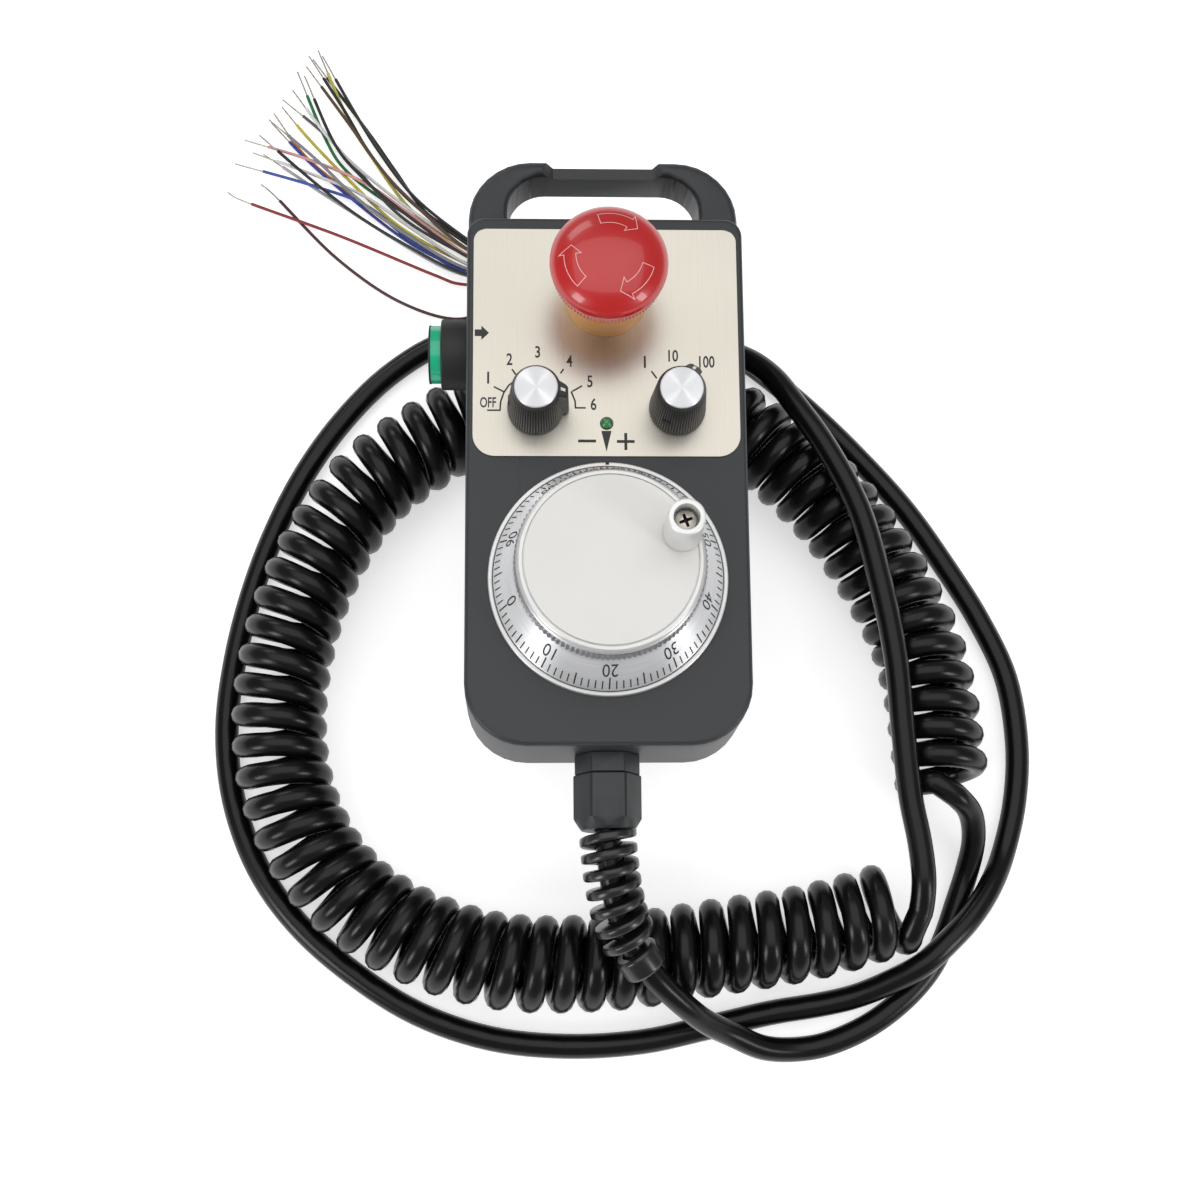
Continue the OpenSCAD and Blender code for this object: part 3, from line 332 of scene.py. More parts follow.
# Each wire: its layer from the table up, its seat across the bundle, its colour and its route.
wires = [
    (0, -1.5, "48181C", (-38, 91), (-56, 95.5), (-75, 109), (-93, 128), (-97.5, 132)),
    (0, -0.5, "E2854A", (-39, 105.5), (-60, 120), (-72.5, 130), (-85, 141), (-94.5, 154.5)),
    (0, 0.5, "157A45", (-39, 113), (-60, 126), (-72.5, 136), (-79, 146), (-88, 168)),
    (0, 1.5, "1A1A1C", (-39, 116), (-50, 124), (-59, 137), (-67, 149), (-83.5, 172)),
    (1, -2.5, "941C22", (-39, 101), (-47.5, 104), (-74, 115.5), (-101.5, 126), (-107, 129)),
    (1, -1.5, "B9BCC0", (-39, 104), (-52, 110.5), (-77, 127), (-87, 134), (-97, 141)),
    (1, -0.5, "2F4FA8", (-39, 106), (-54, 113.5), (-72, 128), (-84, 139), (-95, 151)),
    (1, 0.5, "D2C64C", (-39, 108), (-57, 118.5), (-72, 133), (-84, 146), (-92, 156)),
    (1, 1.5, "55585C", (-39, 110.5), (-57, 122), (-71, 138), (-80, 148), (-92, 158.5)),
    (1, 2.5, "CFCB5C", (-39, 112.5), (-54, 124), (-66, 141), (-73, 153), (-82, 174.5)),
    (2, -2.5, "3C56B0", (-39, 104.5), (-54, 114), (-66.5, 124.5), (-81.5, 130.5), (-105, 137.5)),
    (2, -1.5, "E6E6E6", (-39, 107.5), (-54, 118), (-68, 128), (-83, 134.5), (-100, 141)),
    (2, -0.5, "E7A9A6", (-39, 110.5), (-54, 122), (-67, 131.5), (-82.5, 138.5), (-102.5, 145)),
    (2, 0.5, "EDEDED", (-39, 112.5), (-56, 125), (-70, 137), (-79, 147), (-89, 161)),
    (2, 1.5, "1A1A1C", (-39, 114), (-55, 127), (-66, 141), (-74, 155), (-84.5, 172)),
    (2, 2.5, "202022", (-39, 115.5), (-53, 127.5), (-63, 141), (-71, 154.5), (-80.5, 172)),
    (3, -1.5, "141416", (-39, 103.5), (-55, 112), (-69, 121), (-82, 131.5), (-98, 146)),
    (3, -0.5, "8C9094", (-39, 105.5), (-56, 116), (-70, 127), (-82, 139), (-95.5, 151)),
    (3, 0.5, "18181A", (-39, 109.5), (-57, 123), (-68.5, 133.5), (-76.5, 144), (-85.5, 165)),
    (3, 1.5, "5A3A26", (-39, 112), (-56, 128), (-65, 139), (-72, 149.5), (-85, 168))]

tinned = Finish("tinned_strand", {"Base Color": paint("B4AFA6"), "Metallic": 1.0, "Roughness": 0.4})
twist = tinned.node("TexWave", {"bands_direction": "DIAGONAL"}, {"Vector": tinned.place(), "Scale": 1500.0})
tinned.feed({"Normal": tinned.relief(twist, 0.00004)})
sleeves = {}


def sleeve_finish(code):
    """Soft coloured insulation, with a little of the colour rubbed off."""
    if code not in sleeves:
        made = Finish("wire_" + code, {"IOR": 1.5})
        handled = made.noise(300.0)
        colour = paint(code)
        darker = (*[c * 0.72 for c in colour[:3]], 1)
        made.feed({"Base Color": made.blend(handled, darker, colour)})
        made.gloss(0.34, 0.18, handled)
        sleeves[code] = made
    return sleeves[code]


sheath_end = tail_line[-1]
sheath_heading = (tail_line[-1] - tail_line[-2]).normalized()
sheath_side = Vector((-sheath_heading.y, sheath_heading.x, 0)).normalized()
for row, (layer, seat, code, *stops) in enumerate(wires):
    start = sheath_end - seat * layer_h * sheath_side + Vector((0, 0, (layer - 1.5) * layer_h))
    height = wire_d / 2 + layer * layer_h
    parted = start + wire_straight * sheath_heading
    wire_line = through([start, parted, *[(x, y, height) for x, y in stops]], 12, wire_d / 2)
    strip_from = len(wire_line) - 1
    bare_length = 0
    while bare_length < strip_length:
        bare_length += (wire_line[strip_from] - wire_line[strip_from - 1]).length
        strip_from -= 1
    covered = wire_line[:strip_from + 1]
    strand = cord_curve(f"strand_{row}", wire_line[strip_from:], strand_d, 2, tinned)
    strand.data.transform(Matrix.Translation((0, 0, -wire_d * 0.2 * mm)))
    wire = cord_curve(f"wire_{row}", covered, wire_d, 2, sleeve_finish(code))
    for piece in (wire, strand):
        settle(piece, nodes=["lead_wires"])
    start * mm
    round(length_of(covered) * mm, 4)

# ---------------------------------------------------------------- the housing
# Two shells moulded in black plastic with a fine satin grain. The rear one carries the handle
# loop, and four screws from behind draw the front one down on a cord gasket.


def mesh_of(shape, name):
    """The mesh of a shape that is worked out."""
    mesh = bpy.data.meshes.new(name)
    shape.to_mesh(mesh)
    shape.free()
    return mesh


def smooth(mesh, crease):
    """Smooth faces, with sharp edges where they meet at more than an angle in degrees."""
    mesh.shade_smooth()
    mesh.set_sharp_from_angle(angle=math.radians(crease))


def dress(node, name, finish, body="pendant", bevel=None):
    """The same form as its CAD node, with shared points, smooth faces and its real finish."""
    shape = bmesh.new()
    shape.from_mesh(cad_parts[node].data)
    bmesh.ops.remove_doubles(shape, verts=shape.verts, dist=0.000002)
    mesh = mesh_of(shape, name)
    smooth(mesh, 32)
    mesh.materials.append(finish.material)
    made = linked(name, mesh)
    if bevel:
        edge = made.modifiers.new("edges", "BEVEL")
        edge.width = bevel * mm
        edge.segments = 2
        edge.limit_method = "ANGLE"
        edge.angle_limit = math.radians(40)
    made.modifiers.new("even_normals", "WEIGHTED_NORMAL").keep_sharp = True
    return settle(made, body, [node])


def coat(finish, *nodes):
    """A finish for CAD nodes that already have their real form."""
    for node in nodes:
        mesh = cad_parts[node].data
        mesh.materials.clear()
        mesh.materials.append(finish.material)


moulded = Finish("moulded_black", {"IOR": 1.5})
flow = moulded.noise(35.0, 3.0)
moulded.tones(flow, "242629", "2E3034")
moulded.gloss(0.4, 0.12, flow)
moulded.feed({"Normal": moulded.relief(moulded.noise(3800.0), 0.000018)})
dress("front_shell", "housing_front", moulded)
dress("rear_shell", "housing_rear", moulded)

rubber = Finish("seal_rubber", {"Roughness": 0.75})
rubber.tones(rubber.noise(200.0), "0C0C0D", "181819")
coat(rubber, "case_gasket", "gland_seal")

plated = Finish("plated_steel", {"Metallic": 1.0})
handled = plated.noise(220.0, 3.0)
plated.tones(handled, "8F9296", "C3C5C7")
plated.gloss(0.24, 0.2, handled)
plated.feed({"Normal": plated.relief(plated.noise(2600.0), 0.00001)})
coat(plated, "encoder_shaft", "encoder_nuts", "axis_shaft", "axis_nut", "multiplier_shaft", "multiplier_nut",
     "estop_nut", "enable_nut", "shaft_bearings", "code_disc")

# ---------------------------------------------------------------- the two return springs
# Coil springs of plated wire, one for the emergency stop and one for the enable button.
for node, joint, axis, seat, travel in (("estop_spring", "stop_push", (0, 0, 1), 0, 4),
                                        ("enable_spring", "enable_push", (1, 0, 0), 1, 2.5)):
    coiled = dress(node, node + "_wire", plated)
    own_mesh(coiled)

# ---------------------------------------------------------------- the case screws
# Four cross-recessed screws of plated steel. Their heads are sunk into the rear shell, and
# their threads bite in the bosses of the front one.
dress("case_screws", "case_screw_heads", plated, bevel=0.15)

# ---------------------------------------------------------------- the legend plate
# A stainless plate, brushed from top to bottom and glued into the front, with its signs
# printed in dark ink. Plain numbers stand at the stops of both switches.
plate_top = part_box("legend_plate")[1].z / mm
brushed = Finish("brushed_plate", {"Metallic": 1.0, "Anisotropic": 0.4})
strokes = brushed.noise(60.0, 4.0, (60, 1.2, 1))
brushed.tones(0.6 * strokes + 0.4 * brushed.noise(28.0, 3.0), "B9B4A9", "D0CBC0")
brushed.gloss(0.27, 0.12, strokes)
brushed.feed({"Normal": brushed.relief(brushed.noise(260.0, 2.0, (50, 0.8, 1)), 0.000006)})
dress("legend_plate", "legend_plate_dressed", brushed, bevel=0.12)

ink = Finish("printed_ink", {"Roughness": 0.55})
ink.tones(ink.noise(900.0), "1E1F21", "2C2D2F")


def lettered(words, height, narrow, bold=0.0):
    """Words as a flat mesh about their own middle, with capitals that high, in millimetres."""
    data = bpy.data.curves.new("lettering", "FONT")
    data.body = words
    data.offset = bold
    data.resolution_u = 4
    drawn = linked("lettering", data)
    bpy.context.view_layer.update()
    mesh = bpy.data.meshes.new_from_object(drawn.evaluated_get(bpy.context.evaluated_depsgraph_get()))
    bpy.data.objects.remove(drawn)
    xs = [v.co.x for v in mesh.vertices]
    ys = [v.co.y for v in mesh.vertices]
    scale = height / (max(ys) - min(ys))
    mesh.transform(Matrix.Diagonal((scale * narrow, scale, 1, 1))
                   @ Matrix.Translation((-(max(xs) + min(xs)) / 2, -(max(ys) + min(ys)) / 2, 0)))
    return mesh


def stroke(path, width, closed=False):
    """A flat line of even width with square corners."""
    points = [Vector((*p, 0)) for p in path]
    count = len(points)
    verts = []
    for i, p in enumerate(points):
        before = points[i - 1] if i or closed else None
        after = points[(i + 1) % count] if i < count - 1 or closed else None
        sides = [(q - r).normalized() for q, r in ((p, before), (after, p))
                 if q is not None and r is not None]
        normals = [Vector((-s.y, s.x, 0)) for s in sides]
        middle = sum(normals, Vector()).normalized()
        out = middle * (width / 2 / max(0.3, middle.dot(normals[0])))
        verts += [p - out, p + out]
    faces = [(2 * i, 2 * i + 2, 2 * i + 3, 2 * i + 1) for i in range(count - 1)]
    if closed:
        faces.append((2 * count - 2, 0, 1, 2 * count - 1))
    mesh = bpy.data.meshes.new("stroke")
    mesh.from_pydata(verts, [], faces)
    return mesh


def shape_of(points):
    """A flat filled outline."""
    mesh = bpy.data.meshes.new("filled")
    mesh.from_pydata([(*p, 0) for p in points], [], [tuple(range(len(points)))])
    return mesh


def joined(name, parts, finish, body="pendant", node=None):
    """Several meshes as one piece; each comes with the function that puts its points in place."""
    whole = bmesh.new()
    for mesh, lay in parts:
        first = len(whole.verts)
        whole.from_mesh(mesh)
        whole.verts.ensure_lookup_table()
        for vert in whole.verts[first:]:
            vert.co = lay(vert.co) * mm
        bpy.data.meshes.remove(mesh)
    made_mesh = mesh_of(whole, name)
    made_mesh.materials.append(finish.material)
    return settle(linked(name, made_mesh), body, [node] if node else [])


def on_plate(x=0.0, y=0.0):
    """Lays a flat sign on the plate, with its middle at a point."""
    return lambda p: Vector((p.x + x, p.y + y, plate_top + 0.03))


line_w = 0.42
mark_w = 0.75
digit_h = 3.2
numbers = [
    ("OFF", -30.1, 46.0, 2.8, 0.62), ("1", -30.1, 52.6, digit_h, 0.9), ("2", -24.7, 57.6, digit_h, 0.74),
    ("3", -17.5, 59.6, digit_h, 0.74), ("4", -9.4, 57.2, digit_h, 0.7), ("5", -4.2, 51.7, digit_h, 0.74),
    ("6", -3.3, 45.6, digit_h, 0.74), ("1", 9.9, 57.0, digit_h, 0.9), ("10", 17.2, 58.7, digit_h, 0.72),
    ("100", 25.8, 57.1, digit_h, 0.7)]
ticks = [
    [(-30.35, 43.9), (-27.06, 43.9), (-26.9, 46.2), (-26.1, 48.6), (-24.9, 50.5), (-23.3, 51.9)],
    [(-28.7, 50.2), (-26.1, 48.85)], [(-24.05, 54.9), (-22.95, 53.3)], [(-10.9, 55), (-11.7, 53.8)],
    [(-6.2, 50.5), (-8.7, 49.0)], [(-5.3, 44.6), (-7.9, 44.6), (-8.0, 46.4), (-9, 49)],
    [(11.55, 54.55), (12.9, 52.6)], [(24.45, 54.55), (23.1, 52.6)]]
minus_and_plus = [[(-7.3, 35.8), (-2.75, 35.8)], [(2.55, 35.7), (7.05, 35.7)],
                  [(4.8, 33.45), (4.8, 35.325)], [(4.8, 36.075), (4.8, 37.95)]]
index_point = [(-1.4, 38.5), (-0.1, 33.0), (1.2, 38.5)]
button_arrow = [(-33.6, 63.8), (-31.9, 63.8), (-31.9, 62.75), (-29.95, 64.7), (-31.9, 66.65),
                (-31.9, 65.6), (-33.6, 65.6)]
signs = [(lettered(words, high, narrow, 0.016), on_plate(x, y)) for words, x, y, high, narrow in numbers]
signs += [(stroke(path, line_w), on_plate()) for path in ticks]
signs += [(stroke(path, mark_w), on_plate()) for path in minus_and_plus]
signs += [(shape_of(points), on_plate()) for points in (index_point, button_arrow)]
joined("plate_signs", signs, ink)

# ---------------------------------------------------------------- the dial bezel
# A turned and polished ring round the graduated dial, held from behind by three studs. A short
# black index line at the top of its rim reads the graduations.
face_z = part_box("front_shell")[1].z / mm
bezel_hole = 8.3
bezel_r = 30
rim_in = 28.85
rim_top = face_z + 1.5
flange_top = face_z + 0.5


def outline(points, closed):
    """A turning's outline: each corner is (radius, height) or (radius, height, rounding)."""
    steps = 5
    count = len(points)
    line = []
    for i, corner in enumerate(points):
        p = Vector(corner[:2])
        rounding = corner[2] if len(corner) > 2 else 0
        if not rounding or (not closed and i in (0, count - 1)):
            line.append(p)
            continue
        before = Vector(points[i - 1][:2]) - p
        after = Vector(points[(i + 1) % count][:2]) - p
        a = p + before.normalized() * min(rounding, before.length * 0.48)
        b = p + after.normalized() * min(rounding, after.length * 0.48)
        for k in range(steps + 1):
            u = k / steps
            line.append(a * (1 - u) ** 2 + 2 * p * u * (1 - u) + b * u * u)
    return line


def turned(name, points, finish, at=Matrix.Identity(4), closed=True, around=96, crease=28,
           body="pendant", node=None):
    """A piece turned on a lathe, about the Z axis of its place."""
    shape = bmesh.new()
    rings = []
    for p in outline(points, closed):
        if p.x < 1e-6:
            rings.append([shape.verts.new((0, 0, p.y))] * around)
        else:
            rings.append([shape.verts.new((p.x * math.cos(a), p.x * math.sin(a), p.y))
                          for a in (2 * math.pi * k / around for k in range(around))])
    for one, other in zip(rings, rings[1:] + rings[:1] if closed else rings[1:]):
        for k in range(around):
            corners = [one[k], one[(k + 1) % around], other[(k + 1) % around], other[k]]
            corners = list(dict.fromkeys(corners))
            if len(corners) > 2:
                shape.faces.new(corners)
    bmesh.ops.remove_doubles(shape, verts=shape.verts, dist=1e-5)
    bmesh.ops.recalc_face_normals(shape, faces=shape.faces)
    mesh = mesh_of(shape, name)
    mesh.transform(Matrix.Diagonal((mm, mm, mm, 1)) @ at)
    smooth(mesh, crease)
    mesh.materials.append(finish.material)
    return settle(linked(name, mesh), body, [node] if node else [])


bright = Finish("bright_rim", {"Metallic": 0.85, "Anisotropic": 0.5, "Anisotropic Rotation": 0.25})
bright.tones(bright.noise(120.0), "C8C8C7", "DADAD9")
bright.gloss(0.34, 0.12, bright.noise(1500.0, 2.0, (0.02, 0.02, 1)))
# Black for printed marks and thin rims, and also as painted shade in the dial's gap and the knobs' screw
# holes.
black_marks_and_painted_shade = Finish("black_marks_and_painted_shade", {"Roughness": 0.6})
black_marks_and_painted_shade.tones(black_marks_and_painted_shade.noise(500.0), "0C0C0D", "17171A")

turned("dial_ring", [(bezel_hole, face_z), (bezel_r, face_z, 0.15), (bezel_r, rim_top, 0.4),
                     (rim_in, rim_top, 0.3), (rim_in, flange_top), (bezel_hole, flange_top)],
       bright, around=160, node="dial_bezel")
# A thin black ring at the foot of the gap between the dial and the bezel's rim: painted shadow.
turned("dial_gap_painted_shadow", [(28.3, flange_top + 0.02), (28.8, flange_top + 0.02), (28.8, flange_top + 0.08),
                           (28.3, flange_top + 0.08)], black_marks_and_painted_shade, around=160)
joined("index_line", [(shape_of([(-0.5, 29.25), (0.5, 29.25), (0.4, 29.95), (-0.4, 29.95)]),
                       lambda p: Vector((p.x, p.y, rim_top + 0.03)))], black_marks_and_painted_shade)

# ---------------------------------------------------------------- the graduated dial
# A turned cone of bright metal, one hundred graduations round its foot and a number at every
# tenth. The lines and numbers are etched and filled with dark ink.
foot_r = 28.65
foot_z = face_z + 1.6
head_r = 23.75
head_z = face_z + 12.7
cone_line = Vector((head_r - foot_r, head_z - foot_z)).normalized()
dial_top = face_z + 13.1
first_tick = 18
first_number = 198
graduations = 100

spun = Finish("dial_chrome", {"Metallic": 0.85, "Anisotropic": 0.95, "Anisotropic Rotation": 0.25})
turning = spun.noise(2600.0, 3.0, (0.03, 0.03, 1))
spun.tones(turning, "D2D3D5", "F6F6F7")
spun.gloss(0.42, 0.1, turning)
spun.feed({"Normal": spun.relief(turning, 0.000004)})
turned("dial_cone", [(3, face_z + 1.8), (7, face_z + 1.8), (7, face_z + 12.0), (22.1, face_z + 10.5),
                     (27.15, foot_z), (27.15, face_z + 0.8), (foot_r, face_z + 0.8), (foot_r, foot_z, 0.3),
                     (head_r, head_z, 0.3), (23.05, dial_top), (3, dial_top)],
       spun, around=200, body="handwheel", node="graduated_dial")


def on_cone(turn, rise):
    """Wraps a flat sign round the dial: its X runs round the cone and its Y runs up it."""
    lift = 0.04

    def lay(p):
        s = rise + p.y
        radius = foot_r + cone_line.x * s + cone_line.y * lift
        height = foot_z + cone_line.y * s - cone_line.x * lift
        angle = math.radians(turn) + p.x / radius
        return Vector((radius * math.cos(angle), radius * math.sin(angle), height))
    return lay


def ring_of_copies():
    """A node tree that sets copies of one piece round the Z axis and makes them one mesh."""
    tree = bpy.data.node_groups.new("ring_of_copies", "GeometryNodeTree")
    for socket, way, kind in (("Piece", "INPUT", "Geometry"), ("Count", "INPUT", "Int"),
                              ("Step", "INPUT", "Float"), ("Finish", "INPUT", "Material"),
                              ("Ring", "OUTPUT", "Geometry")):
        tree.interface.new_socket(socket, in_out=way, socket_type="NodeSocket" + kind)
    made = {kind: tree.nodes.new(kind) for kind in (
        "NodeGroupInput", "NodeGroupOutput", "GeometryNodeMeshLine", "GeometryNodeInstanceOnPoints",
        "GeometryNodeInputIndex", "ShaderNodeMath", "ShaderNodeCombineXYZ", "GeometryNodeRealizeInstances",
        "GeometryNodeMergeByDistance", "GeometryNodeSetMaterial")}
    made["ShaderNodeMath"].operation = "MULTIPLY"
    made["GeometryNodeMeshLine"].inputs["Offset"].default_value = (0, 0, 0)
    made["GeometryNodeMergeByDistance"].inputs["Distance"].default_value = 0.002
    for source, out, goal, into in (
            ("NodeGroupInput", "Count", "GeometryNodeMeshLine", "Count"),
            ("NodeGroupInput", "Piece", "GeometryNodeInstanceOnPoints", "Instance"),
            ("GeometryNodeMeshLine", "Mesh", "GeometryNodeInstanceOnPoints", "Points"),
            ("GeometryNodeInputIndex", "Index", "ShaderNodeMath", 0),
            ("NodeGroupInput", "Step", "ShaderNodeMath", 1),
            ("ShaderNodeMath", 0, "ShaderNodeCombineXYZ", "Z"),
            ("ShaderNodeCombineXYZ", 0, "GeometryNodeInstanceOnPoints", "Rotation"),
            ("GeometryNodeInstanceOnPoints", 0, "GeometryNodeRealizeInstances", 0),
            ("GeometryNodeRealizeInstances", 0, "GeometryNodeMergeByDistance", 0),
            ("GeometryNodeMergeByDistance", 0, "GeometryNodeSetMaterial", "Geometry"),
            ("NodeGroupInput", "Finish", "GeometryNodeSetMaterial", "Material"),
            ("GeometryNodeSetMaterial", 0, "NodeGroupOutput", 0)):
        tree.links.new(made[source].outputs[out], made[goal].inputs[into])
    return tree


copies_tree = ring_of_copies()


def ring_mesh(piece, count, finish):
    """Copies of a mesh round the Z axis, at even steps, as one plain mesh in millimetres."""
    holder = linked("copies", piece)
    ring = holder.modifiers.new("ring", "NODES")
    ring.node_group = copies_tree
    values = {"Count": count, "Step": 2 * math.pi / count, "Finish": finish.material}
    for item in copies_tree.interface.items_tree:
        if item.in_out == "INPUT" and item.name in values:
            ring[item.identifier] = values[item.name]
    bpy.context.view_layer.update()
    mesh = bpy.data.meshes.new_from_object(holder.evaluated_get(bpy.context.evaluated_depsgraph_get()))
    holder.modifiers.remove(ring)
    bpy.data.objects.remove(holder)
    return mesh


def strip_mesh(sections):
    """A strip of faces between rows of points, given as (radius, turn, height)."""
    width = len(sections[0])
    verts = [(r * math.cos(a), r * math.sin(a), z) for row in sections for r, a, z in row]
    faces = [(i * width + k, i * width + k + 1, (i + 1) * width + k + 1, (i + 1) * width + k)
             for i in range(len(sections) - 1) for k in range(width - 1)]
    mesh = bpy.data.meshes.new("strip")
    mesh.from_pydata(verts, [], faces)
    return mesh


def tick_mesh(start, end, width):
    """One graduation, drawn on the cone."""
    mesh = shape_of([(-width / 2, start), (width / 2, start), (width / 2, end), (-width / 2, end)])
    lay = on_cone(first_tick, 0)
    for vert in mesh.vertices:
        vert.co = lay(vert.co)
    return mesh


def as_drawn(p):
    """Leaves a point where it is."""
    return Vector(p)


dial_signs = [(ring_mesh(tick_mesh(0.7, 4.2, 0.32), graduations, ink), as_drawn),
              (ring_mesh(tick_mesh(0.7, 5.6, 0.38), graduations // 5, ink), as_drawn)]
for tenth in range(10):
    number = lettered(str(tenth * 10), 5.4, 0.54)
    number.transform(Matrix.Rotation(math.pi, 4, "Z"))
    dial_signs.append((number, on_cone(first_number + 36 * tenth, 8.6)))
joined("dial_graduations", dial_signs, ink, body="handwheel")

# ---------------------------------------------------------------- the knurled drum
# The grip of the handwheel, turned from one bar with the cone: a straight knurl for the
# fingers, then a polished round shoulder that frames the face disc.
drum_r = 23.05
knurl_r = 23.5
knurl_count = 110
shoulder_r = 22.62
seat_in = 19.6
seat_r = 21.3
drum_foot = dial_top
drum_top = drum_foot + 4.6
knurl_top = drum_top + 0.9
seat_z = drum_top + 2.08
shoulder_top = drum_top + 2.4
satin = Finish("knurl_satin", {"Metallic": 0.9})
satin.tones(satin.noise(400.0, 3.0), "808184", "A9AAAD")
satin.gloss(0.3, 0.14, satin.noise(900.0))
half_step = math.pi / knurl_count
knurl = strip_mesh([
    [(drum_r, -half_step, side_z), (ridge_r, 0, ridge_z), (drum_r, half_step, side_z)]
    for side_z, ridge_z, ridge_r in (
        (drum_foot, drum_foot, drum_r), (drum_foot + 0.2, drum_foot + 0.45, knurl_r),
        (knurl_top - 0.2, knurl_top - 0.45, knurl_r), (knurl_top, knurl_top, drum_r))])
joined("drum_knurls", [(ring_mesh(knurl, knurl_count, satin), as_drawn)], satin, body="handwheel",
       node="knurled_drum")
turned("drum_shoulder", [(seat_in, drum_foot), (drum_r, drum_foot), (drum_r, knurl_top, 0.1),
                         (drum_r - 0.2, knurl_top + 0.15, 0.1), (shoulder_r, knurl_top + 0.3, 0.1),
                         (shoulder_r, shoulder_top, 1.0), (seat_r, shoulder_top, 0.25),
                         (seat_r, seat_z), (seat_in, seat_z)],
       bright, around=160, body="handwheel", node="knurled_drum")

# ---------------------------------------------------------------- the face disc
# A disc of fine satin aluminium, turned flat and pressed into the seat of the drum. The
# crank's screw passes through it near its edge.
disc_r = 21.05
disc_low = drum_top + 2.1
disc_top = drum_top + 2.85
satin_disc = Finish("satin_disc", {"Metallic": 0.35, "IOR": 1.5})
satin_disc.tones(satin_disc.noise(70.0, 3.0), "D8D7D4", "E0DFDC")
satin_disc.gloss(0.5, 0.08, satin_disc.noise(900.0))
satin_disc.feed({"Normal": satin_disc.relief(satin_disc.noise(5000.0, 1.0), 0.000004)})
turned("face_disc_turned", [(0, disc_low), (disc_r, disc_low), (disc_r, disc_top, 0.2), (0, disc_top)],
       satin_disc, closed=False, around=160, body="handwheel", node="face_disc")

# ---------------------------------------------------------------- the crank
# A turned sleeve that spins on a steel cross-head screw, off the middle of the disc. The
# screw's head sits deep in the mouth of the sleeve.
crank_x = 17.152
crank_y = 6.379
crank_spot = Matrix.Translation((crank_x, crank_y, 0))
crank_low = drum_top + 3.2
crank_top = crank_low + 14.5
shank_r = 2
bore_r = 2.04
mouth_r = 3.1
mouth_low = crank_top - 6
satin_crank = Finish("satin_crank", {"Metallic": 0.6})
satin_crank.tones(satin_crank.noise(160.0), "D2D2D1", "EAEAE9")
satin_crank.gloss(0.32, 0.12, satin_crank.noise(1200.0, 2.0, (0.1, 0.1, 1)))
turned("crank_grip", [(bore_r, crank_low), (4.75, crank_low, 0.25), (4.5, crank_top, 0.5),
                      (mouth_r, crank_top, 0.2), (mouth_r, mouth_low), (bore_r, mouth_low)],
       satin_crank, crank_spot, around=64, body="crank", node="crank_sleeve")


def cross_head(radius, foot, height, recess, depth):
    """A pan head with a cross recess, about the Z axis, in millimetres."""
    around = 48
    width = recess / 4
    shape = bmesh.new()
    rim = [Vector((radius * math.cos(a), radius * math.sin(a), 0)) for a in
           (2 * math.pi * (k + 0.5) / around for k in range(around))]
    cross = []
    for quarter in range(4):
        turn = Matrix.Rotation(quarter * math.pi / 2, 3, "Z")
        for x, y in ((width / 2, width / 2), (recess / 2, width / 2 * 0.8), (recess / 2, -width / 2 * 0.8)):
            cross.append(turn @ Vector((x, y, 0)))
    levels = [[shape.verts.new((p.x * share, p.y * share, foot + height * rise)) for p in rim]
              for share, rise in ((1, 0), (1, 0.45), (0.9, 0.85))]
    for one, other in zip(levels, levels[1:]):
        for k in range(around):
            shape.faces.new((one[k], one[(k + 1) % around], other[(k + 1) % around], other[k]))
    shape.faces.new(levels[0][::-1])
    cross.sort(key=lambda p: math.atan2(p.y, p.x))
    mouth = [shape.verts.new((p.x, p.y, foot + height)) for p in cross]
    floor = [shape.verts.new((p.x * 0.62, p.y * 0.62, foot + height - depth)) for p in cross]
    # The recess's walls and floor take the second material, a dark painted shade.
    for k in range(12):
        wall = shape.faces.new((mouth[k], floor[k], floor[(k + 1) % 12], mouth[(k + 1) % 12]))
        wall.material_index = 1
    shape.faces.new(floor).material_index = 1
    top_edges = [e for e in shape.edges if e.is_boundary]
    bmesh.ops.triangle_fill(shape, edges=top_edges, use_beauty=True)
    bmesh.ops.recalc_face_normals(shape, faces=shape.faces)
    return mesh_of(shape, "cross_head")


nickel = Finish("nickel_screw", {"Metallic": 0.8})
nickel.tones(nickel.noise(500.0, 3.0), "B4AFA5", "D6D1C6")
nickel.gloss(0.34, 0.14, nickel.noise(900.0))
# Painted shade: a dark colour for the walls and floor of the cross recess, where its shade falls.
shade = Finish("screw_recess_painted_shade", {"Metallic": 0.3})
shade.tones(shade.noise(600.0), "1B1917", "332F2B")
shade.gloss(0.55, 0.15, shade.noise(900.0))
screw_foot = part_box("crank_screw")[1].z / mm - 2.2
shank_low = drum_foot + 4.6
turn_cos = 0.94
turn_sin = 0.34


def on_crank(p):
    """Turns the screw's cross a little and carries the head to the crank."""
    return Vector((p.x * turn_cos - p.y * turn_sin + crank_x,
                   p.y * turn_cos + p.x * turn_sin + crank_y, p.z))


head = joined("crank_screw_head", [(cross_head(2.8, screw_foot, 2.2, 3.3, 1.3), on_crank)],
              nickel, body="handwheel", node="crank_screw")
head.data.materials.append(shade.material)
smooth(head.data, 35)
turned("crank_screw_shank", [(0, shank_low), (shank_r, shank_low), (shank_r, screw_foot + 0.2),
                             (0, screw_foot + 0.2)],
       plated, crank_spot, closed=False, around=32, body="handwheel")

